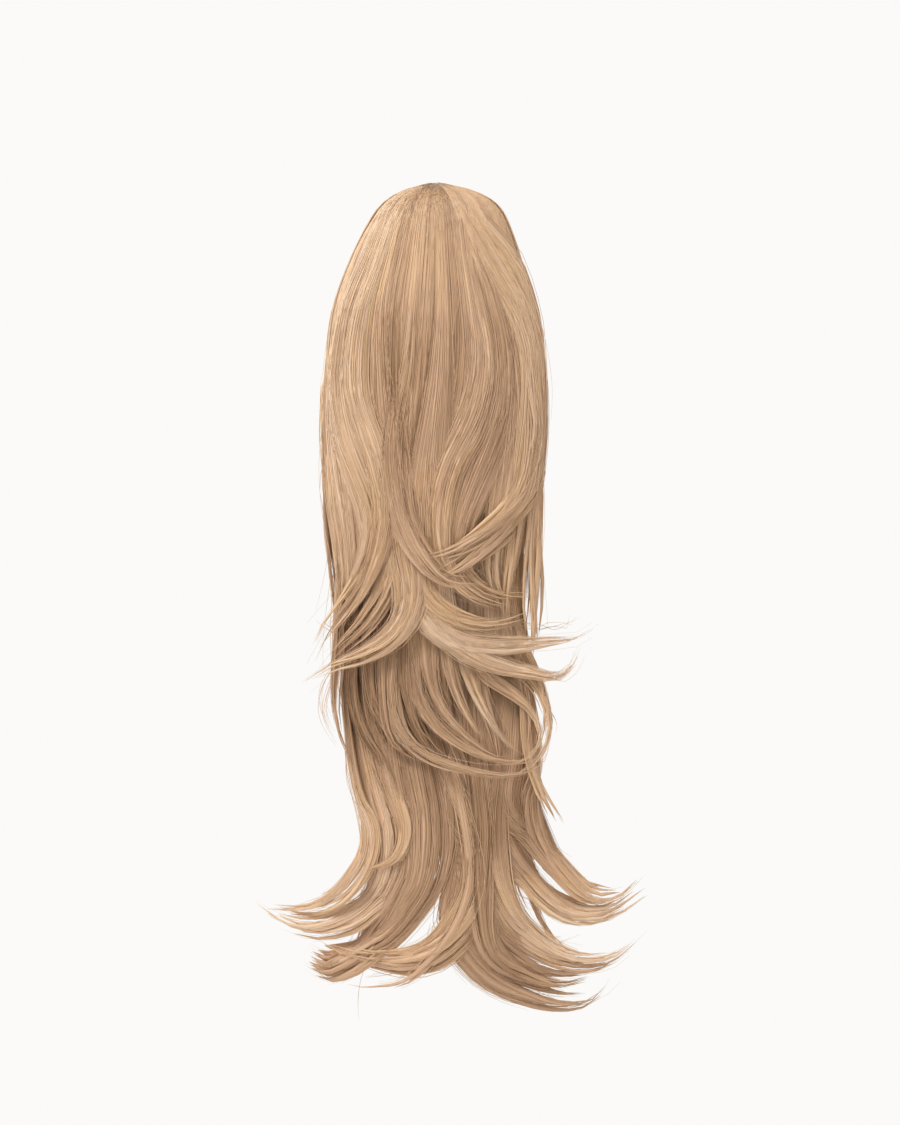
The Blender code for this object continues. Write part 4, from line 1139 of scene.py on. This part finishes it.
settle(tracks[0], "weft_tracks")
TRACK_TAPE = cloth_material("track_tape", (0.66, 0.52, 0.38), (0.45, 0.33, 0.23), 700.0, 0.7, 0.0001)
finish_cap_piece(tracks[0], TRACK_TAPE)


def thread_mesh(name, lines, radius):
    """Short lengths of sewing thread as one mesh."""
    paths = np.array(lines)
    count, rings, _ = paths.shape
    tangent = unit(np.gradient(paths, axis=1))
    outs = unit(np.cross(tangent, np.cross(np.broadcast_to((0.0, 1.0, 0.0), tangent.shape), tangent)))
    asides = np.cross(outs, tangent)
    radii = np.full((count, rings), radius)
    tones = np.repeat(np.linspace(0.1, 0.9, count)[:, None], rings, axis=1)
    return tubes_mesh(name, [(paths, asides, outs, radii, radii, tones)], 5, 0.01)


SEWING_THREAD = cloth_material("sewing_thread", (0.80, 0.70, 0.56), (0.62, 0.50, 0.37), 2600.0, 0.5, 0.00005)
finish_cap_piece(thread_mesh("track_stitches", stitch_batches, 0.00022), SEWING_THREAD)

deselect()
bpy.ops.mesh.primitive_torus_add(
    major_segments=464, minor_segments=20, major_radius=HEM_RADIUS,
    minor_radius=HEM_HALF_WIDTH, rotation=(math.pi / 2, 0.0, 0.0), location=(0.0, -HEM_HALF_WIDTH, 0.0),
)
hem = bpy.context.object
bpy.ops.object.transform_apply(location=True, rotation=True, scale=True)
for vertex in hem.data.vertices:
    x, y, z = vertex.co
    turn = math.atan2(z, x)
    radial = math.hypot(x, z) - HEM_RADIUS
    along = (y + HEM_HALF_WIDTH) / HEM_HALF_WIDTH
    fold = math.sin(GATHERS * turn + 0.8 * math.sin(5 * turn)) + 0.35 * math.sin(2.7 * GATHERS * turn + 1.0)
    seams = math.exp(-((abs(along) - HEM_SEAM) / 0.13) ** 2)
    gather = 0.00038 * fold * (1.0 - 0.75 * seams) * math.copysign(1.0, radial)
    flat = radial / HEM_HALF_WIDTH * HEM_HALF_THICKNESS * (1.0 - 0.35 * seams) + gather
    edge = 0.00030 * fold * abs(along) ** 3
    reach = HEM_RADIUS + flat
    vertex.co = (
        reach * math.cos(turn), y + edge, reach * math.sin(turn) * CAP_OVAL
    )
settle(hem, "elastic_hem")
HEM_ELASTIC = cloth_material("hem_elastic", (0.74, 0.61, 0.46), (0.50, 0.38, 0.27), 1100.0, 0.75, 0.0002)
finish_cap_piece(hem, HEM_ELASTIC)

hem_lines = []
for seam in (-HEM_SEAM, HEM_SEAM):
    for n in range(HEM_STITCHES):
        line = []
        for k in range(STITCH_STEPS + 1):
            turn = 2 * math.pi * (n + 0.78 * k / STITCH_STEPS) / HEM_STITCHES
            lift = 0.00012 * math.sin(math.pi * k / STITCH_STEPS) - 0.00012
            reach = HEM_RADIUS - HEM_HALF_THICKNESS * 0.72 - lift
            line.append((
                reach * math.cos(turn), -HEM_HALF_WIDTH * (1.0 - seam),
                reach * math.sin(turn) * CAP_OVAL
            ))
        hem_lines.append(line)
finish_cap_piece(thread_mesh("hem_stitches", hem_lines, 0.00025), SEWING_THREAD)


# Comb
# A flat moulded comb holds the piece in the wearer's hair. Its spine follows the cap's upper rim and is
# tied to the net there with turns of sewing thread.
COMB_EDGE = 0.0003


def comb_plastic():
    made, tree, shader = start_material("comb_plastic", {"Coat Weight": 0.25, "Coat Roughness": 0.2})
    place = add_node(tree, "TexCoord", {}).outputs["Object"]
    cloud = add_node(tree, "TexNoise", {"Vector": place, "Scale": 160.0, "Detail": 4.0}).outputs["Fac"]
    tone = add_ramp(tree, cloud, ((0.30, (0.58, 0.44, 0.29)), (0.70, (0.74, 0.60, 0.43))))
    tree.links.new(tone, shader.inputs["Base Color"])
    gloss = add_node(tree, "MapRange", {"Value": cloud, "To Min": 0.24, "To Max": 0.42})
    tree.links.new(gloss.outputs[0], shader.inputs["Roughness"])
    grain = add_node(tree, "TexNoise", {"Vector": place, "Scale": 2400.0})
    add_bump(tree, shader, grain.outputs["Fac"], 0.2, 0.00005)
    return made


deselect()
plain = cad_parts["comb"]
comb = plain.copy()
comb.data = plain.data.copy()
comb.data.materials.clear()
bpy.context.collection.objects.link(comb)
comb.select_set(True)
bpy.context.view_layer.objects.active = comb
bpy.ops.object.mode_set(mode="EDIT")
bpy.ops.mesh.select_all(action="SELECT")
bpy.ops.mesh.remove_doubles(threshold=0.00002)
bpy.ops.mesh.dissolve_limited(angle_limit=math.radians(2.0))
bpy.ops.object.mode_set(mode="OBJECT")
rounding = comb.modifiers.new("rounding", "BEVEL")
rounding.width = COMB_EDGE
rounding.segments = 2
rounding.limit_method = "ANGLE"
rounding.angle_limit = math.radians(50.0)
bpy.ops.object.modifier_apply(modifier=rounding.name)
comb.name = "cap_comb"
comb.data.name = "cap_comb"
bpy.ops.object.shade_smooth_by_angle(angle=math.radians(40.0))
finish_cap_piece(comb, comb_plastic(), "comb")

ties = []
low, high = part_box("comb")
middle_y = (low[1] + high[1]) / 2
for side in (-1.0, 1.0):
    for n in range(9):
        x = side * (0.0045 + 0.0013 * n)
        top = math.sqrt(1.0 - (x / 0.0355) ** 2) * (high[2] + 0.0004)
        line = []
        for k in range(13):
            turn = 2 * math.pi * k / 12
            line.append((
                x + side * 0.0012 * k / 12, middle_y + 0.00125 * math.sin(turn),
                top - 0.0026 + 0.0028 * math.cos(turn)
            ))
        ties.append(line)
finish_cap_piece(thread_mesh("comb_ties", ties, 0.00024), SEWING_THREAD, "comb")


# Floor, light and camera
# A pale floor well below the hair, a soft light from the front left and the front view of the photo.
FLOOR_DROP = 0.90
FLOOR_RADIUS = 1.9
VIEW_CENTRE = (0.009, -0.192)
VIEW_HEIGHT = 0.681
CAMERA_DISTANCE = 2.0
SENSOR_HEIGHT = 24.0
GLOW = 0.72

deselect()
bpy.ops.mesh.primitive_circle_add(
    vertices=96, radius=FLOOR_RADIUS, fill_type="NGON", location=(0.0, 0.0, -FLOOR_DROP)
)
floor = bpy.context.object
settle(floor, "floor", smooth=False)
pale, _, _ = start_material("pale_floor", {"Base Color": (0.90, 0.89, 0.88, 1.0), "Roughness": 0.9})
floor.data.materials.append(pale)

world = bpy.data.worlds.new("studio")
world.use_nodes = True
air, links = world.node_tree.nodes, world.node_tree.links
seen = air["Background"]
seen.inputs["Color"].default_value = (0.965, 0.955, 0.940, 1.0)
glow = air.new("ShaderNodeBackground")
glow.inputs["Color"].default_value = (1.0, 0.985, 0.965, 1.0)
glow.inputs["Strength"].default_value = GLOW
path = air.new("ShaderNodeLightPath")
either = air.new("ShaderNodeMixShader")
links.new(path.outputs["Is Camera Ray"], either.inputs["Fac"])
links.new(glow.outputs[0], either.inputs[1])
links.new(seen.outputs[0], either.inputs[2])
links.new(either.outputs[0], air["World Output"].inputs["Surface"])
bpy.context.scene.world = world
bpy.context.scene.view_settings.view_transform = "Standard"

lamp = bpy.data.lights.new("key", "AREA")
lamp.size = 0.8
lamp.energy = 30.0
key = bpy.data.objects.new("key", lamp)
bpy.context.collection.objects.link(key)
key.location = (-0.9, -1.3, 1.5)
key.rotation_euler = (Vector((0.0, 0.0, -0.2)) - key.location).to_track_quat("-Z", "Y").to_euler()

lens = bpy.data.cameras.new("camera")
lens.sensor_fit = "VERTICAL"
lens.sensor_height = SENSOR_HEIGHT
lens.lens = SENSOR_HEIGHT * CAMERA_DISTANCE / VIEW_HEIGHT
camera = bpy.data.objects.new("camera", lens)
bpy.context.collection.objects.link(camera)
camera.location = (VIEW_CENTRE[0], CENTRE_Y - HALF_DEPTH - CAMERA_DISTANCE, VIEW_CENTRE[1])
camera.rotation_euler = (math.pi / 2, 0.0, 0.0)
bpy.context.scene.camera = camera
